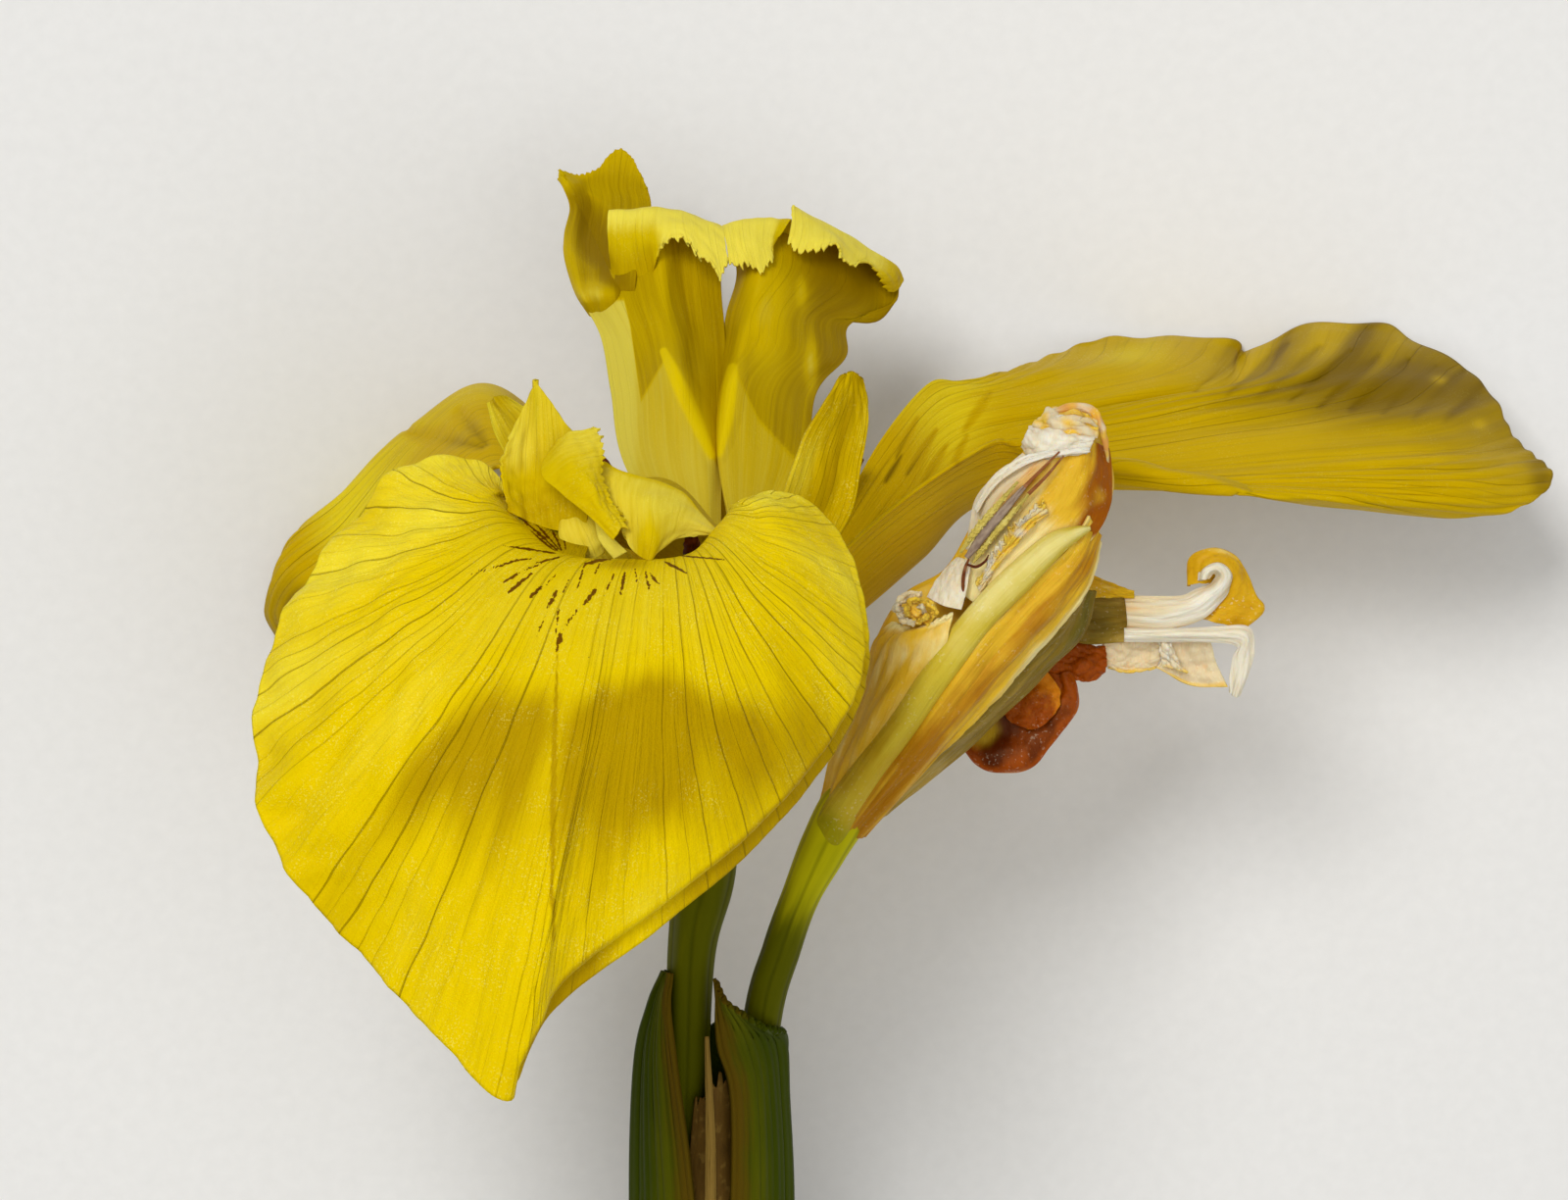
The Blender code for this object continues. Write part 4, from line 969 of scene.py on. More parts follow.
def make_style_arm_right():
    """The far style arm at the right: a keeled blade, painted lit below and painted in shade above, with two toothed
    crests.
    """
    blade = patch([
        base_row(FALL_RIGHT, 42, radius=1.5, rise=COLUMN_HEIGHT + SEAT),
        [(-4.7, 10, -4.5), (-4.5, 9.8, -2.7), (-2, 9.4, -3.4), (1.2, 9.2, -5)],
        [(-4.75, 15.2, -8.7), (-3.8, 15.4, -5.4), (-0.8, 15.2, -7), (2.3, 15.0, -9.6)],
        [(-4.6, 18.2, -10.6), (-3.0, 18.4, -8.4), (-0.4, 18.2, -9), (2.4, 18, -11), (4.5, 17.9, -13.2)],
        [(-4.2, 21, -12), (-2.4, 21.2, -10), (-0.6, 21, -10), (1.8, 20.8, -12), (4.7, 20.3, -15)],
        [(-3.4, 24, -13.2), (-2.4, 24.4, -12), (-0.5, 24.4, -12), (2.2, 24.2, -14), (5.4, 22.8, -16.4),
         (6.9, 21.0, -17), (8.1, 22.2, -17.6)],
        [(-4.0, 26.8, -14), (-1.8, 27.3, -14.4), (0.8, 27.3, -15), (3.7, 26.6, -17), (6.8, 25, -18.6),
         (8.7, 23.9, -19)],
    ], 151, 161)
    blade = crumpled(blade, 0.08, 2.2, 86)
    _, u = parameters(blade)
    # The tint paints light and shade. lit is painted light on the lower blade, below the edge of the crests' shade, and
    # above it the blade is painted in shade. The streak is two painted highlights on pale lit patches. A blot under the
    # crests' hem and the blade's right side are painted darker as shade, and the keel ridge is painted lighter in the
    # shade as a highlight.
    lit = below(blade, [-5.5, -3.6, -1.9, 0.2, 2], [10.7, 16.6, 13.0, 10.7, 9.0], 0.25)
    painted_highlight = blot(blade, 1.9, 17.2, 0.42, 1.7) + 0.7 * blot(blade, 1.2, 22.6, 0.35, 0.9)
    keel = dashes(blade, [(-1.6, 24.5, -3.2, 18.0, 0.7), (-3.2, 18.0, -4.7, 10.2, 0.55)])
    tint = -0.45 + 0.7 * lit + 1.1 * painted_highlight - 0.4 * blot(blade, 4, 24, 3, 2) + 0.3 * keel * (1 - lit)
    tint = tint + 0.6 * blot(blade, -1.2, 20.5, 1.2, 4) - 0.3 * smooth(blade[..., 0], 1, 3)
    blade = moved(blade, (0, 0, 0.35), keel)
    # The gold band along the lower keel is a painted highlight.
    sheet("style_arm_right", blade, SHADED_ARM_SKIN, "style", "style_arm_right", thickness=FOLD_WALL, tint=tint,
          blush=0.9 * smooth(dashes(blade, [(-3.7, 16.8, -4.7, 10.6, 0.5)]), 0.2, 0.6))
    flap = patch([
        [(-4.3, 26.7, -14), (-1.6, 27.2, -14.4), (0.5, 27.0, -14.4)],
        [(-4.5, 27.4, -12.2), (-3, 27.95, -12.6), (-1.3, 28.05, -13), (0.5, 27.95, -13.2)],
        [(-4.2, 26, -10.7), (-2.8, 26.3, -11), (-1.6, 26.4, -11.3), (-0.3, 26.8, -12.2)],
        [(-4.0, 24.5, -10.2), (-3.3, 24.4, -10.2), (-2.8, 24.75, -10.3), (-2.2, 24.3, -10.5),
         (-1.6, 24.0, -10.7),
         (-1.6, 24.0, -10.7), (-1.0, 24.9, -11.2), (-0.9, 26.2, -12.0)],
    ], 141, 101)
    flap = crumpled(toothed(flap, 11, 0.8, 88, reach=0.16), 0.06, 2.2, 90)
    _, u = parameters(flap)
    # Painted shade towards its right end.
    sheet("crest_right_left", flap, STYLE_SKIN, "style", thickness=CREST_WALL,
          tint=0.8 - 1.0 * smooth(u, 0.75, 0.95))
    flap = patch([
        [(0.9, 27.9, -15.4), (3.8, 26.6, -17.2), (7.6, 24.2, -19.4)],
        [(0.75, 29.0, -14), (0.75, 29.0, -14), (2.2, 28.25, -14.8), (3.7, 27.5, -15.8), (5.4, 26.6, -16.8),
         (6.9, 25.8, -17.6), (8.3, 24.9, -18.4), (8.8, 23.9, -18.8)],
        [(0.5, 27.5, -12.6), (1.9, 27.1, -13), (3.6, 26.8, -13.9), (5, 25.9, -15), (6.6, 24.9, -16),
         (7.9, 23.9, -17.2),
         (8.3, 23.0, -17.6)],
        [(0.25, 26.2, -12.1), (1.1, 25.6, -12.0), (2.3, 25.7, -12.3), (3.8, 26.1, -12.8), (4.2, 25.2, -13.2),
         (5, 24.6, -13.8), (6.0, 25.2, -15), (7.0, 24.0, -15.8), (7.7, 22.9, -16.8)],
    ], 201, 101)
    flap = crumpled(toothed(flap, 19, 0.8, 92, reach=0.16), 0.06, 2.4, 94)
    _, u = parameters(flap)
    # Painted shade towards its right end.
    sheet("crest_right_right", flap, STYLE_SKIN, "style", thickness=CREST_WALL,
          tint=0.8 - 1.3 * smooth(u, 0.7, 0.95))


def make_stamens():
    """A pale filament and a brown anther under each style arm."""
    anthers = {
        "front": (FALL_FRONT, [(-5.4, -1.4, 5), (-6.2, 1.8, 9.8), (-6.4, 4.2, 14.2)]),
        "left": (FALL_LEFT, [(-8.4, 1.5, -5.5), (-11, 6.5, -8.8), (-13.8, 10.5, -11.8)]),
        "right": (FALL_RIGHT, [(0, 0.5, -4.5), (2.8, 6, -7), (5.4, 10.4, -9.2)]),
    }

    def grooved(v, u):
        return 1 - 0.3 * bell(u, 0.25, 0.05) - 0.3 * bell(u, 0.75, 0.05) + 0.05 * wander(u * 4, v * 9, 70)

    for place, (azimuth, path) in anthers.items():
        foot = on_axis(azimuth, 1.85, 2.2)
        p = tube([on_axis(azimuth, 1.75, SEAT), foot, np.array(path[0])], [(0.3, 0.3)] * 3, 16, 30)
        stalk("filament_" + place, p, STYLE_SKIN, "style", "filament_" + place, tint=0.8)
        p = tube(path, [(0.5, 0.4), (0.8, 0.6), (0.5, 0.4)], 32, 60, grooved)
        stalk("anther_" + place, p, SIGNAL_ANTHER, "anther", "anther_" + place)


def make_withered_body():
    """The spent flower's bundle of wrapped petals: a folded husk, the claw that runs up it as a soft ridge, and the
    sheets that wrap over the husk on both sides of the claw."""
    left = [(1.5, -18.4, -4.6), (3.0, -13.4, -4.3), (4.3, -9.6, -4.0), (5.6, -5.6, -3.5), (6.6, -2.8, -3.0),
            (8.6, 0.2, -2.7), (11.4, 2.0, -2.4), (13.0, 4.6, -2.2), (14.2, 7.1, -2.0), (16.2, 9.4, -1.8),
            (18.8, 12.6, -1.5)]
    right = [(4.1, -18.9, -4.6), (7.1, -15.3, -4.5), (10.1, -12.6, -4.4), (12.8, -10.3, -4.2),
             (16.1, -6.5, -3.9),
             (18.6, -4.4, -3.5), (20.8, -1.8, -3.0), (22.0, 1.8, -2.6), (22.7, 5.4, -2.2), (23.5, 8.6, -1.9),
             (22.9, 12.2, -1.6)]
    rise = [1.3, 2.0, 2.5, 2.8, 2.9, 2.9, 2.8, 2.7, 2.6, 2.4, 1.6]
    drop = [1.3, 1.6, 2.0, 2.4, 2.5, 2.6, 2.6, 2.4, 2.2, 1.9, 1.2]
    p, v, u = husk(left, right, rise, drop, 160, 200)
    out = np.cross(np.roll(p, -1, 1) - np.roll(p, 1, 1), np.gradient(p, axis=0))
    out = out / np.maximum(np.linalg.norm(out, axis=2, keepdims=True), 1e-9)
    out = out * np.sign(out[100, 40, 2])
    folds = 0.16 * np.cos(2 * math.pi * (5 * u + 0.6 * v)) + 0.08 * np.cos(2 * math.pi * (11 * u - v))
    folds = folds + 0.14 * wander(u * 5, v * 4, 81)
    hollow = 0.8 * bell(u, 0.2, 0.09) * smooth(v, 0.5, 0.7) * smooth(v, 0.98, 0.85)
    p = p + out * ((folds - hollow) * smooth(v, 0, 0.15))[..., None]
    rust = 0.9 * blot(p, 21.6, 8.2, 1.6, 3.0) + 0.4 * blot(p, 19.5, 5.0, 1.5, 2.5)
    tint = 0.1 + 0.4 * blot(p, 16, 3, 3, 4) + 0.5 * blot(p, 23.2, 5, 0.8, 3) - 0.3 * blot(p, 21, 9, 2, 3)
    stalk("withered_bundle", p, WITHERED_SKIN, "withered", "withered_bundle", tint=tint, blush=rust)

    shaded = patch([
        [(6.5, -15.9, -2.6), (7.3, -15.4, -3.4)],
        [(9.4, -11.6, -1.2), (10.3, -12.2, -2.6), (10.8, -12.8, -4.2)],
        [(12.9, -8.4, -0.3), (14.0, -9.0, -1.8), (14.5, -9.5, -3.8)],
        [(16.4, -4.9, 0.2), (17.8, -5.3, -1.2), (18.7, -5.2, -3.4)],
        [(18.8, -2.0, 0.3), (20.2, -2.4, -0.9), (21.4, -2.4, -2.9)],
        [(20.4, 0.7, 0.4), (21.5, 0.7, -0.7), (22.3, 0.7, -2.5)],
    ], 61, 121)
    shaded = crumpled(shaded, 0.12, 2.2, 96)
    v, u = parameters(shaded)
    sheet("withered_shaded_wrap", shaded, SHADED_SKIN, "withered", thickness=HUSK_WALL,
          tint=0.2 - 0.7 * smooth(v, 0.45, 0.85) * smooth(u, 0.3, 0.8) + 0.4 * smooth(v, 0.5, 0.1),
          blush=0.5 * bell(u, 0.7, 0.25) * smooth(v, 0.4, 0.7))

    wrap = patch([
        [(3.4, -17.4, -2.9), (4.6, -17.2, -2.8), (5.8, -16.9, -3.6)],
        [(7.6, -11.2, 0.6), (8.9, -11.6, 0.4), (10.2, -12.2, -1.4)],
        [(10.9, -6.4, 1.9), (12.4, -7.6, 1.7), (13.7, -8.6, -0.2)],
        [(14.0, -2.4, 2.6), (15.6, -3.8, 2.3), (17.0, -4.9, 0.3)],
        [(17.2, 1.0, 3.0), (18.6, -0.6, 2.6), (19.9, -1.7, 0.7)],
        [(20.0, 3.6, 3.1), (21.0, 2.4, 2.4), (21.8, 1.2, 0.7)],
        [(21.6, 6.0, 2.6), (22.2, 5.0, 1.8), (22.7, 4.0, 0.3)],
    ], 91, 181)
    wrap = crumpled(toothed(wrap, 12, 0.2, 97, "last", 0.08), 0.12, 2.6, 98)
    v, u = parameters(wrap)
    sheet("withered_right_wrap", wrap, WITHERED_SKIN, "withered", thickness=HUSK_WALL,
          tint=-0.1 + 1.0 * smooth(u, 0.75, 0.97) * smooth(v, 0.2, 0.6) - 0.5 * bell(u, 0.5, 0.2)
          + 0.5 * smooth(u, 0.25, 0.0) * smooth(v, 0.3, 0.6) - 0.5 * smooth(v, 0.5, 0.15),
          blush=0.4 * bell(u, 0.55, 0.2) * smooth(v, 0.15, 0.4) * smooth(v, 0.9, 0.6))

    pouch = patch([
        [(1.9, -17.6, -3.8), (3.0, -17.2, -2.9), (4.2, -16.9, -2.8)],
        [(3.0, -12.8, -3.2), (4.9, -12.0, -0.6), (7.4, -11.0, 0.8)],
        [(4.5, -8.6, -2.8), (7.0, -7.6, 1.0), (9.8, -6.4, 2.1)],
        [(5.8, -5.0, -2.4), (8.4, -4.4, 1.9), (11.4, -3.4, 2.7)],
        [(6.7, -2.8, -1.8), (8.8, -2.6, 2.4), (11.8, -1.8, 3.0)],
        [(7.6, -1.5, -0.6), (9.4, -2.0, 2.6), (12.0, -0.9, 3.1)],
    ], 111, 151)
    pouch = crumpled(toothed(pouch, 10, 0.4, 99), 0.16, 2.4, 100)
    v, u = parameters(pouch)
    sheet("withered_left_wrap", pouch, WITHERED_SKIN, "withered", thickness=HUSK_WALL,
          tint=0.15 + 0.85 * smooth(v, 0.84, 1.0) + 0.4 * smooth(u, 0.75, 1) + 0.3 * bell(v, 0.65, 0.1),
          blush=0.35 * smooth(u, 0.35, 0.0) * smooth(v, 0.85, 0.4))

    def keeled(v, u):
        return 1 + 0.1 * bell(u, 0.25, 0.09) + 0.05 * wander(u * 4, v * 6, 101)

    p = tube([(2.9, -17.8, -3.9), (4.1, -15.2, -2.4), (6.1, -12.0, -0.3), (8.7, -8.5, 1.2), (11.3, -4.7, 2.2),
              (13.9, -1.2, 2.8), (16.6, 1.6, 3.2), (19.0, 3.8, 3.4), (20.6, 4.7, 3.3), (21.7, 5.1, 3.1)],
             [(1.6, 1.0), (1.3, 1.0), (1.1, 1.0), (1.1, 1.0), (1.12, 0.95), (1.15, 0.9), (1.1, 0.8),
              (0.9, 0.65),
              (0.55, 0.4), (0.15, 0.15)], 64, 200, keeled)
    v, u = np.meshgrid(np.linspace(0, 1, 200), np.arange(64) / 64, indexing="ij")
    # The top of the claw is painted lighter along its length, as a painted highlight.
    stalk("withered_claw", p, CLAW_SKIN, "withered_claw", "withered_claw",
          tint=-0.35 + 0.6 * smooth(v, 0.3, 0.6) + 0.5 * bell(u, 0.25, 0.12) * smooth(v, 0.25, 0.6),
          blush=smooth(v, 0.2, 0.02) + 0.35 * smooth(v, 0.8, 1.0))


def make_withered_heart():
    """What shows in the husk's opening: the dried stamen with its pollen, a thin white sheet, a tan one, torn
    edges, and the rosette of a shrivelled style."""
    stamen = [(12.95, 3.0, 3.2), (14.1, 4.6, 3.6), (15.6, 6.4, 3.9), (17.0, 8.0, 4.0)]

    def grooved(v, u):
        return 1 - 0.35 * bell(u, 0.25, 0.06) + 0.06 * wander(u * 4, v * 14, 102)

    stalk("withered_stamen", tube(stamen, [(0.2, 0.2), (0.34, 0.26), (0.3, 0.26), (0.16, 0.16)], 32, 90,
                                  grooved),
          ANTHER_SKIN, "anther", "withered_stamen", tint=0.3)
    for name, side, seed in (("pollen_left", -1, 103), ("pollen_right", 1, 105)):
        path = np.array(stamen) + np.array([0.46, -0.36, -0.12]) * side

        def lumpy(v, u, seed=seed):
            return 1 + 0.22 * wander(u * 4, v * 26, seed) + 0.12 * wander(u * 9, v * 60, seed + 1)

        stalk(name, tube(path, [(0.1, 0.1), (0.24, 0.18), (0.2, 0.16), (0.08, 0.08)], 32, 170, lumpy),
              POLLEN, "anther")
    for name, path in (("withered_filament_top", [(16.8, 7.8, 4.0), (18.2, 9.2, 4.0), (19.5, 10.5, 3.8)]),
                       ("withered_filament_side", [(17.3, 7.5, 3.9), (18.6, 8.8, 3.9), (19.8, 10.2, 3.7)])):
        stalk(name, tube(path, [(0.14, 0.12), (0.11, 0.1), (0.06, 0.06)], 16, 40), FILAMENT_SKIN, "anther")
    stalk("withered_filament_low", tube([(12.75, 0.0, 2.6), (12.7, 1.4, 3.1), (12.85, 2.3, 3.4),
                                         (13.1, 2.9, 3.5)],
                                        [(0.12, 0.12), (0.13, 0.12), (0.12, 0.1), (0.07, 0.07)], 16, 60),
          FILAMENT_SKIN, "anther", tint=-0.6)
    stalk("withered_filament_hook", tube([(13.0, 2.5, 3.5), (13.6, 2.35, 3.7), (14.2, 2.7, 3.7),
                                          (14.5, 3.2, 3.7)],
                                         [(0.08, 0.08), (0.11, 0.1), (0.09, 0.09), (0.04, 0.04)], 16, 40),
          FILAMENT_SKIN, "anther", tint=-0.9)

    tan = patch([
        [(12.4, 0.6, 1.8), (14.4, -0.6, 2.6), (16.0, 0.2, 2.8), (16.4, 0.0, 2.6)],
        [(13.2, 3.8, 1.9), (15.0, 2.8, 2.9), (17.4, 2.6, 3.0), (18.6, 2.2, 2.6)],
        [(14.4, 6.6, 1.9), (16.4, 5.6, 2.9), (19.2, 4.8, 3.0), (21.6, 4.0, 2.4)],
        [(16.3, 9.0, 2.0), (18.1, 7.9, 2.9), (20.8, 7.0, 2.9), (23.1, 6.4, 1.4)],
        [(17.6, 10.2, 2.2), (19.3, 9.5, 2.9), (21.4, 9.0, 2.8), (23.3, 8.4, 1.0)],
        [(18.5, 11.4, 1.6), (20.0, 11.3, 2.4), (21.6, 11.3, 2.4), (23.1, 10.8, 0.8)],
    ], 101, 141)
    tan = crumpled(tan, 0.09, 2.4, 106)
    v, u = parameters(tan)
    sheet("withered_inner_sheet", tan, WITHERED_SKIN, "withered", thickness=FOLD_WALL,
          tint=0.9 * smooth(v, 0.65, 0.3) + 0.35 * smooth(u, 0.5, 0.2) - 0.15,
          blush=0.85 * smooth(u, 0.4, 0.95) * smooth(v, 0.3, 0.6) + 0.25 * wander(u * 3, v * 3, 107) * smooth(u, 0.3, 0.6))
    torn = patch([
        [(13.9, 0.6, 3.1), (15.3, 2.6, 3.4), (16.4, 3.9, 3.6), (17.5, 5.2, 3.7), (18.7, 6.1, 3.6)],
        [(13.5, 1.3, 3.2), (14.8, 3.3, 3.6), (15.8, 4.6, 3.8), (16.9, 6.0, 3.9), (18.4, 7.0, 3.7)],
    ], 181, 41)
    torn = crumpled(toothed(torn, 14, 0.7, 107, reach=0.6), 0.1, 4, 108)
    v, u = parameters(torn)
    sheet("withered_torn_edge", torn, CREAM_SKIN, "withered_pale", thickness=TORN_WALL,
          tint=0.1 - 0.5 * smooth(v, 0.5, 0),
          blush=0.45 + 0.4 * wander(u * 6, v, 109))

    white = patch([
        [(10.2, 0.2, 1.2), (11.3, -0.4, 2.5), (12.6, -0.7, 2.7)],
        [(11.0, 1.6, 1.0), (12.0, 1.2, 2.5), (13.0, 0.8, 2.8)],
        [(12.3, 3.0, 1.2), (12.8, 2.9, 2.5), (13.3, 2.6, 2.9)],
    ], 61, 71)
    sheet("withered_white_sheet", crumpled(white, 0.06, 1.8, 110), CREAM_SKIN, "withered_pale",
          thickness=CREST_WALL,
          tint=0.35)
    lobe = patch([
        [(13.0, 3.6, 1.0), (13.5, 3.5, 2.2), (14.0, 4.0, 2.9)],
        [(13.4, 5.6, 1.0), (14.2, 5.6, 2.5), (15.2, 5.6, 3.1)],
        [(13.8, 7.4, 1.2), (15.0, 7.2, 2.8), (16.3, 7.1, 3.3)],
        [(15.2, 9.0, 1.4), (16.4, 8.7, 2.9), (17.6, 8.6, 3.4)],
        [(17.0, 10.4, 1.8), (17.9, 10.0, 3.0), (18.9, 9.9, 3.4)],
    ], 81, 101)
    lobe = crumpled(lobe, 0.07, 1.6, 112)
    v, u = parameters(lobe)
    sheet("withered_lobe", lobe, CREAM_SKIN, "withered_pale", thickness=CREST_WALL,
          tint=0.25 - 0.9 * smooth(u, 0.45, 0.9), blush=0.35 * smooth(u, 0.4, 0.9))

    bud = tube([(9.2, -1.2, 2.2), (9.4, -0.8, 3.1), (9.6, -0.5, 3.5)],
               [(0.5, 0.4), (0.6, 0.5), (0.3, 0.25)], 32, 50,
               lambda v, u: 1 + 0.2 * wander(u * 4, v * 4, 111))
    stalk("withered_rosette_bud", bud, CREAM_SKIN, "withered_orange", tint=-0.7, blush=0.7)
    for i in range(7):
        turn = i * 2.4 + 0.4
        reach = 0.4 + 0.17 * i
        middle = np.array([9.35, -0.8, 2.9 - 0.1 * i])
        ring = [middle + (reach * math.cos(turn + a), 0.8 * reach * math.sin(turn + a),
                          0.35 * math.sin(3 * a))
                for a in np.linspace(-1.0, 1.0, 7)]
        high = [q + np.array([0.2 * math.cos(turn), 0.2 * math.sin(turn), 0.7]) for q in ring]
        curl = [q + (middle - q) * 0.3 + np.array([0, 0, 0.1]) for q in high]
        petal = crumpled(toothed(patch([ring, high, curl], 51, 31), 5, 0.25, 120 + i, reach=0.5), 0.08, 3,
                         130 + i)
        nodes = ("withered_lip",) if i == 0 else ()
        sheet(f"withered_rosette_{i}", petal, CREAM_SKIN, "withered_orange", *nodes, thickness=TORN_WALL,
              tint=0.1 - 0.6 * (i % 2), blush=0.9 if i in (1, 2, 3, 5) else 0.35)


def make_withered_cap():
    """The crumpled top: a white fold, a cream one above it, an orange rim rolled over both, and the thin edge of
    the sheet that holds them."""
    white = patch([
        [(16.9, 10.9, 1.2), (17.9, 9.9, 2.2), (19.6, 10.2, 2.8), (21.5, 10.4, 2.8)],
        [(17.0, 11.4, 2.4), (18.2, 10.6, 3.2), (20.0, 11.0, 3.6), (21.8, 11.0, 3.2)],
        [(17.3, 11.9, 2.2), (18.6, 11.6, 3.3), (20.4, 11.5, 3.5), (22.0, 11.4, 3.0)],
        [(17.5, 12.2, 1.0), (18.9, 12.3, 2.4), (20.7, 11.8, 2.9), (22.0, 11.6, 2.4)],
    ], 101, 61)
    sheet("withered_crest", crumpled(white, 0.11, 2.2, 140), CREAM_SKIN, "withered_pale", "withered_crest",
          thickness=FOLD_WALL, tint=0.45)
    cream = patch([
        [(17.7, 12.3, 1.6), (19.2, 11.9, 2.8), (20.8, 11.6, 3.0), (22.2, 11.6, 2.6)],
        [(17.9, 12.8, 2.0), (19.3, 12.6, 3.3), (20.9, 12.4, 3.5), (22.3, 12.2, 3.0)],
        [(18.6, 13.3, 1.6), (19.8, 13.2, 2.8), (21.0, 13.1, 3.0), (22.2, 12.7, 2.6)],
        [(19.2, 13.6, 0.6), (20.2, 13.6, 1.6), (21.2, 13.4, 1.8), (22.1, 13.0, 1.6)],
    ], 101, 61)
    cream = crumpled(cream, 0.12, 2.6, 142)
    v, u = parameters(cream)
    sheet("withered_cream_fold", cream, CREAM_SKIN, "withered_pale", thickness=FOLD_WALL,
          tint=-0.1, blush=0.55 + 0.35 * wander(u * 3, v * 3, 143))
    rim = tube([(18.6, 13.0, 1.2), (19.6, 13.5, 2.1), (20.8, 13.75, 2.5), (21.9, 13.4, 2.6),
                (22.5, 12.4, 2.4),
                (22.8, 11.4, 2.0), (23.0, 10.4, 1.5), (23.1, 9.6, 1.0)],
               [(0.12, 0.12), (0.24, 0.22), (0.28, 0.25), (0.3, 0.26), (0.27, 0.25), (0.22, 0.2),
                (0.14, 0.14),
                (0.08, 0.08)], 40, 160, lambda v, u: 1 + 0.12 * wander(u * 3, v * 9, 144))
    v = np.linspace(0, 1, 160)[:, None]
    stalk("withered_rim", rim, CREAM_SKIN, "withered_pale", tint=-0.6 + 0.4 * np.sin(v * 23),
          blush=0.35 + 0.3 * np.sin(v * 31))
    for i, (x, y, z) in enumerate([(20.6, 13.1, 3.4), (21.4, 12.5, 3.5), (19.7, 12.7, 3.2)]):
        ridge = tube([(x - 1.0, y - 0.15, z - 0.7), (x, y + 0.25, z), (x + 0.9, y - 0.3, z - 0.6)],
                     [(0.1, 0.08), (0.2, 0.16), (0.08, 0.08)], 24, 40)
        stalk(f"withered_pleat_{i}", ridge, CREAM_SKIN, "withered_pale", tint=-0.3 + 0.3 * i,
              blush=0.7 - 0.3 * i)
    edge = patch([
        [(13.7, 6.2, 2.6), (15.0, 8.1, 3.2), (17.0, 9.5, 3.6), (19.2, 10.2, 3.7), (21.7, 10.5, 3.3)],
        [(13.5, 6.6, 1.8), (14.8, 8.7, 2.8), (16.9, 10.1, 3.3), (19.2, 10.7, 3.4), (21.6, 11.0, 3.0)],
    ], 141, 21)
    sheet("withered_thin_edge", crumpled(edge, 0.04, 2, 146), CREAM_SKIN, "withered_pale",
          thickness=FILM_WALL, tint=0.7)


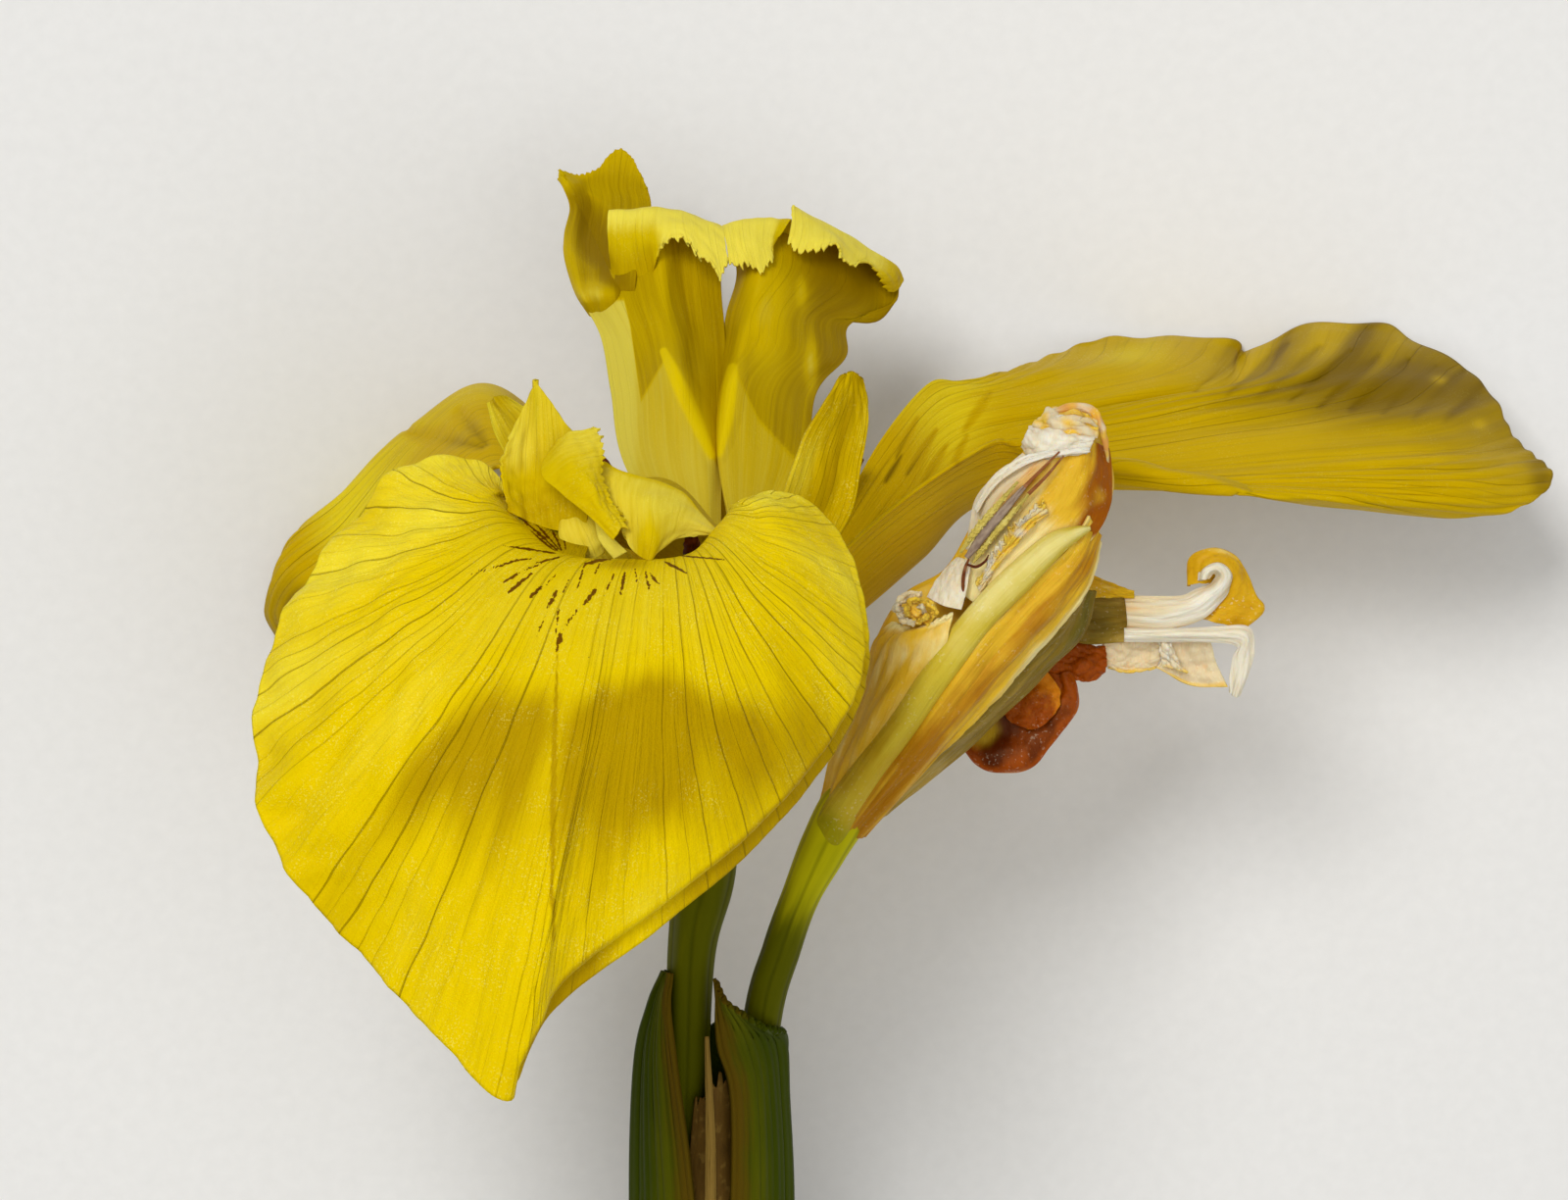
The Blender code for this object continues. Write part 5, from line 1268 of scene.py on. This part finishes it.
def make_withered_fall():
    """The spent fall that curled away at the right: a limp haft, a white fold, a rolled end, and hanging lobes;
    and under it the orange one, folded on itself."""
    haft = patch([
        [(3.6, -13.8, -6.1), (4.4, -14.6, -6.5), (5.4, -15.4, -6.2)],
        [(8.2, -6.6, -5.3), (10, -8, -5.4), (11.8, -9.4, -4.4)],
        [(14.4, 0.6, -5), (16.2, -1.2, -5.1), (18, -3.2, -4.4)],
        [(20.2, 1.9, -5.0), (20.8, -0.4, -5.4), (20.2, -3.0, -5.2)],
        [(22.6, 0.9, -5.2), (22.8, -0.9, -5.7), (22.4, -3.2, -5.6)],
        [(25.2, 0.4, -5.5), (25.2, -1.2, -6.2), (24.8, -3.0, -6.0)],
    ], 81, 161)
    haft = crumpled(haft, 0.12, 2.4, 148)
    v, u = parameters(haft)
    sheet("withered_fall_pale", haft, SHADED_SKIN, "withered_pale", "withered_fall_pale", thickness=HUSK_WALL,
          tint=-0.2 + 1.0 * smooth(v, 0.82, 1) + 0.4 * smooth(u, 0.25, 0) - 0.4 * bell(u, 0.6, 0.2))
    fold = patch([
        [(24.6, 0.3, -5.2), (24.7, -0.5, -4.8), (24.8, -1.5, -5.0), (24.8, -2.1, -5.6)],
        [(26.8, 0.3, -5.0), (27.2, -0.7, -4.5), (27.4, -1.4, -4.7), (27.6, -2.1, -5.5)],
        [(28.6, 0.3, -5.0), (29.2, -0.3, -4.4), (29.8, -0.8, -4.6), (30.2, -1.3, -5.3)],
        [(29.8, 0.8, -5.0), (30.5, 0.4, -4.3), (31.1, 0.1, -4.5), (31.5, -0.2, -5.1)],
        [(30.8, 1.2, -4.8), (31.2, 1.0, -4.0), (31.7, 0.8, -4.2), (32.1, 0.6, -4.8)],
        [(31.2, 1.7, -4.5), (31.6, 1.75, -3.8), (32.0, 1.8, -3.9), (32.4, 1.9, -4.5)],
        [(31.1, 2.0, -4.3), (31.2, 2.2, -3.7), (31.3, 2.5, -3.8), (31.4, 2.8, -4.4)],
        [(30.8, 1.9, -4.2), (30.6, 2.0, -3.7), (30.4, 2.15, -3.9), (30.2, 2.3, -4.5)],
        [(30.6, 1.6, -4.2), (30.4, 1.5, -3.8), (30.2, 1.45, -3.9), (29.9, 1.4, -4.5)],
    ], 71, 161)
    fold = crumpled(fold, 0.05, 2, 150)
    v, u = parameters(fold)
    sheet("withered_white_fold", fold, CREAM_SKIN, "withered_pale", thickness=CREST_WALL,
          tint=0.25 + 0.5 * bell(u, 0.55, 0.25) + 0.2 * wander(u * 2, v * 2, 151) - 0.6 * smooth(v, 0.12, 0.0))
    curl = patch([
        [(30.9, 1.3, -4.9), (31.1, 1.6, -4.8), (31.4, 1.5, -4.9), (31.6, 1.1, -5.0), (31.5, 0.2, -5.4),
         (30.9, -0.6, -5.8), (29.6, -1.2, -6.0)],
        [(30.0, 1.2, -4.5), (30.3, 2.3, -4.2), (31.2, 2.7, -4.1), (32.2, 2.3, -4.2), (32.8, 1.0, -4.6),
         (32.6, -0.4, -5.2), (31.2, -1.6, -5.7)],
        [(29.3, 1.1, -4.9), (29.6, 2.9, -4.7), (31.1, 3.5, -4.6), (32.6, 3.0, -4.7), (33.5, 1.6, -5.0),
         (34.0, 0.2, -5.3), (34.4, -0.7, -5.6), (33.0, -2.0, -5.9)],
        [(29.15, 1.0, -5.5), (29.4, 2.9, -5.4), (31.1, 3.55, -5.4), (32.7, 3.0, -5.4), (33.6, 1.6, -5.6),
         (34.1, 0.2, -5.8), (34.4, -0.8, -6.0), (33.0, -2.1, -6.3)],
    ], 141, 91)
    curl = crumpled(curl, 0.08, 2.2, 154)
    v, u = parameters(curl)
    sheet("withered_curl", curl, CURL_SKIN, "withered", "withered_curl", thickness=FOLD_WALL,
          tint=-0.1 + 0.5 * bell(u, 0.35, 0.15) * smooth(v, 0.4, 0.7) - 0.5 * smooth(v, 0.3, 0.0),
          blush=0.5 * smooth(u, 0.8, 1.0) * smooth(v, 0.5, 0.0))
    hem = patch([
        [(24.6, -2.1, -5.4), (24.6, -2.5, -5.0), (24.6, -2.9, -5.5)],
        [(28.0, -2.1, -5.2), (28.0, -2.5, -4.7), (28.0, -2.9, -5.3)],
        [(31.4, -2.0, -5.0), (31.4, -2.5, -4.5), (31.3, -3.0, -5.1)],
        [(33.6, -2.0, -5.2), (33.2, -2.7, -4.7), (32.8, -3.4, -5.3)],
        [(34.0, -3.6, -5.6), (33.3, -3.9, -5.2), (32.5, -4.2, -5.7)],
        [(33.6, -5.4, -6.0), (33.1, -5.5, -5.7), (32.3, -5.4, -6.0)],
        [(33.0, -6.9, -6.3), (32.7, -7.0, -6.2), (32.3, -6.7, -6.3)],
    ], 41, 161)
    sheet("withered_white_hem", crumpled(hem, 0.06, 1.6, 156), CREAM_SKIN, "withered_pale",
          thickness=FOLD_WALL, tint=0.6)
    lobes = {
        "withered_lobe_near": [[(23.2, -3.0, -6.3), (25.2, -2.9, -6.2), (27.3, -2.9, -6.1)],
                               [(23.0, -4.2, -6.8), (25.0, -4.4, -7.2), (27.3, -4.2, -6.8)],
                               [(23.6, -4.9, -6.8), (25.0, -5.3, -7.0), (26.9, -4.9, -6.7)]],
        "withered_lobe_far": [[(27.9, -2.8, -6.1), (29.4, -2.9, -6.0), (30.9, -3.0, -6.0)],
                              [(27.4, -4.3, -6.8), (29.4, -4.8, -7.2), (31.4, -4.6, -6.7)],
                              [(27.0, -4.9, -6.8), (29.6, -6.2, -7.2), (32.2, -6.3, -6.5)]],
        "withered_lobe_strut": [[(27.0, -2.9, -5.8), (27.5, -2.9, -5.6), (28.0, -2.9, -5.8)],
                                [(27.3, -3.9, -6.0), (27.8, -4.0, -5.7), (28.4, -4.1, -6.0)],
                                [(27.5, -4.8, -6.3), (28.3, -5.0, -6.0), (29.2, -5.3, -6.3)]],
    }
    for seed, (name, rows) in enumerate(lobes.items()):
        p = crumpled(patch(rows, 61, 51), 0.12, 2, 158 + 2 * seed)
        v, u = parameters(p)
        sheet(name, p, CREAM_SKIN, "withered_pale", thickness=CREST_WALL, tint=-0.1 + 0.2 * seed,
              blush=0.6 * smooth(v, 0.75, 1))

    cup = patch([
        [(14.6, -7.4, -5.9), (16.3, -6.4, -6.0), (18.3, -4.8, -5.8)],
        [(13.5, -9.2, -6.2), (15.0, -9.4, -6.5), (16.8, -9.2, -6.4), (18.6, -8.0, -6.3), (19.8, -6.4, -6.2),
         (20.0, -5.4, -6.0)],
        [(12.9, -10.2, -6.3), (14.1, -11.0, -6.1), (15.4, -11.3, -5.9), (16.9, -11.2, -5.8),
         (18.1, -10.4, -5.8),
         (19.4, -8.9, -5.7), (20.6, -7.2, -5.8), (20.6, -6.2, -5.8), (20.2, -5.2, -5.8)],
        [(12.9, -10.3, -6.6), (13.9, -11.6, -6.5), (15.2, -12.3, -6.4), (17, -12.4, -6.3),
         (18.4, -11.7, -6.3),
         (19.8, -9.9, -6.2), (21.1, -8.0, -6.2), (21.1, -6.5, -6.2), (20.6, -5.3, -6.0)],
        [(13.3, -10.3, -7.2), (14.2, -11.5, -7.2), (15.4, -12.1, -7.2), (16.9, -12.2, -7.2),
         (18.2, -11.5, -7.2),
         (19.5, -9.8, -7.0), (20.8, -8.0, -7.0), (20.8, -6.6, -6.9), (20.4, -5.5, -6.6)],
    ], 141, 121)
    cup = crumpled(cup, 0.12, 1.8, 164)
    v, u = parameters(cup)
    sheet("withered_fall_orange", cup, ORANGE_SKIN, "withered_orange", "withered_fall_orange",
          thickness=HUSK_WALL,
          tint=-0.4 + 0.7 * smooth(v, 0.6, 0.8) - 0.7 * dashes(cup, [(15.6, -7.0, 15.3, -11.4, 1.0)])
          + 0.4 * blot(cup, 19.8, -7.2, 1.2, 2),
          blush=0.95 * blot(cup, 14.4, -9.4, 1.5, 1.5))
    flap = patch([
        [(15.6, -7.4, -5.7), (17.0, -6.6, -5.4), (18.9, -5.0, -5.4)],
        [(16.2, -8.6, -5.6), (17.6, -8.0, -5.1), (19.9, -6.4, -5.3)],
        [(17.0, -8.9, -5.7), (17.7, -9.3, -5.4), (18.6, -9.1, -5.2), (19.4, -8.4, -5.3), (19.9, -7.5, -5.5)],
    ], 71, 71)
    sheet("withered_orange_flap", crumpled(flap, 0.1, 2, 166), ORANGE_SKIN, "withered_orange",
          thickness=FOLD_WALL,
          tint=0.1 + 0.8 * smooth(parameters(flap)[1], 0.5, 1))
    upper = patch([
        [(18.4, -4.0, -6.2), (19.6, -3.4, -6.2), (21.6, -3.2, -6.2), (23.2, -3.4, -6.4)],
        [(18.6, -4.7, -5.6), (20.0, -4.5, -5.6), (21.8, -4.4, -5.7), (23.4, -4.4, -6.0)],
        [(19.0, -5.3, -6.0), (20.4, -5.6, -6.0), (22.0, -5.9, -6.1), (23.2, -5.4, -6.3)],
    ], 81, 51)
    sheet("withered_orange_strip", crumpled(upper, 0.15, 2.4, 168), ORANGE_SKIN, "withered_orange",
          thickness=HUSK_WALL,
          tint=-0.2)
    wedge = patch([
        [(21.0, 2.6, -4.4), (21.3, 1.4, -4.2), (21.5, 0.2, -4.4)],
        [(22.8, 1.6, -4.7), (23.0, 0.9, -4.5), (23.1, 0.2, -4.7)],
        [(25.2, 0.6, -5.0), (25.3, 0.4, -4.9), (25.3, 0.2, -5.0)],
    ], 41, 51)
    sheet("withered_orange_wedge", crumpled(wedge, 0.06, 2, 170), CURL_SKIN, "withered_orange",
          thickness=FOLD_WALL)


# The stage, in metres, with the lens and its sensor in millimetres. A light has a name, a place from the flower's
# centre, a width and a power in watts.
TABLE_SIZE = 6
EYE_HEIGHT = 0.42
LENS, SENSOR = 135, 36
ROOM_LIGHT = 0.25
LIGHTS = [
    ("key", (-0.3, 0.4, 0.95), 0.4, 6.4),
    ("fill", (0.5, -0.45, 0.7), 0.9, 2.0),
    ("top", (0.1, -0.1, 1.15), 0.9, 3.4),
]


def make_stage():
    """A pale table, three soft lights and a camera that looks straight down."""
    bpy.ops.mesh.primitive_plane_add(size=TABLE_SIZE, location=(0, 0, 0))
    floor = bpy.context.object
    floor.name = "table"
    f = Finish("table_top", Specular_IOR_Level=0.2)
    grain = f.noise(900, 3)
    pale = f.mix(grain, rgb(226, 225, 222), rgb(234, 233, 230))
    floor.data.materials.append(f.finish(pale, grain * 0.1 + 0.6, grain, 0.02))
    centre = HEAD * MM
    for name, place, size, power in LIGHTS:
        light = bpy.data.lights.new(name, "AREA")
        light.size, light.energy = size, power
        lamp = bpy.data.objects.new(name, light)
        lamp.location = centre + np.array(place)
        aim = -np.array(place)
        lamp.rotation_euler = (math.acos(-aim[2] / np.linalg.norm(aim)), 0,
                               math.atan2(aim[1], aim[0]) - math.pi / 2)
        bpy.context.scene.collection.objects.link(lamp)
    world = bpy.data.worlds.new("room")
    world.use_nodes = True
    world.node_tree.nodes["Background"].inputs[0].default_value = (1, 1, 1, 1)
    world.node_tree.nodes["Background"].inputs[1].default_value = ROOM_LIGHT
    bpy.context.scene.world = world
    bpy.context.scene.view_settings.view_transform = "Standard"
    camera = bpy.data.cameras.new("camera")
    camera.lens, camera.sensor_width = LENS, SENSOR
    eye = bpy.data.objects.new("camera", camera)
    eye.location = centre + np.array([0, 0, EYE_HEIGHT])
    bpy.context.scene.collection.objects.link(eye)
    bpy.context.scene.camera = eye


make_stage()
make_stems()
make_spathes()
make_fall_front()
make_fall_left()
make_fall_right()
make_standards()
make_style_arm_front()
make_style_arm_left()
make_style_arm_right()
make_stamens()
make_withered_body()
make_withered_heart()
make_withered_cap()
make_withered_fall()
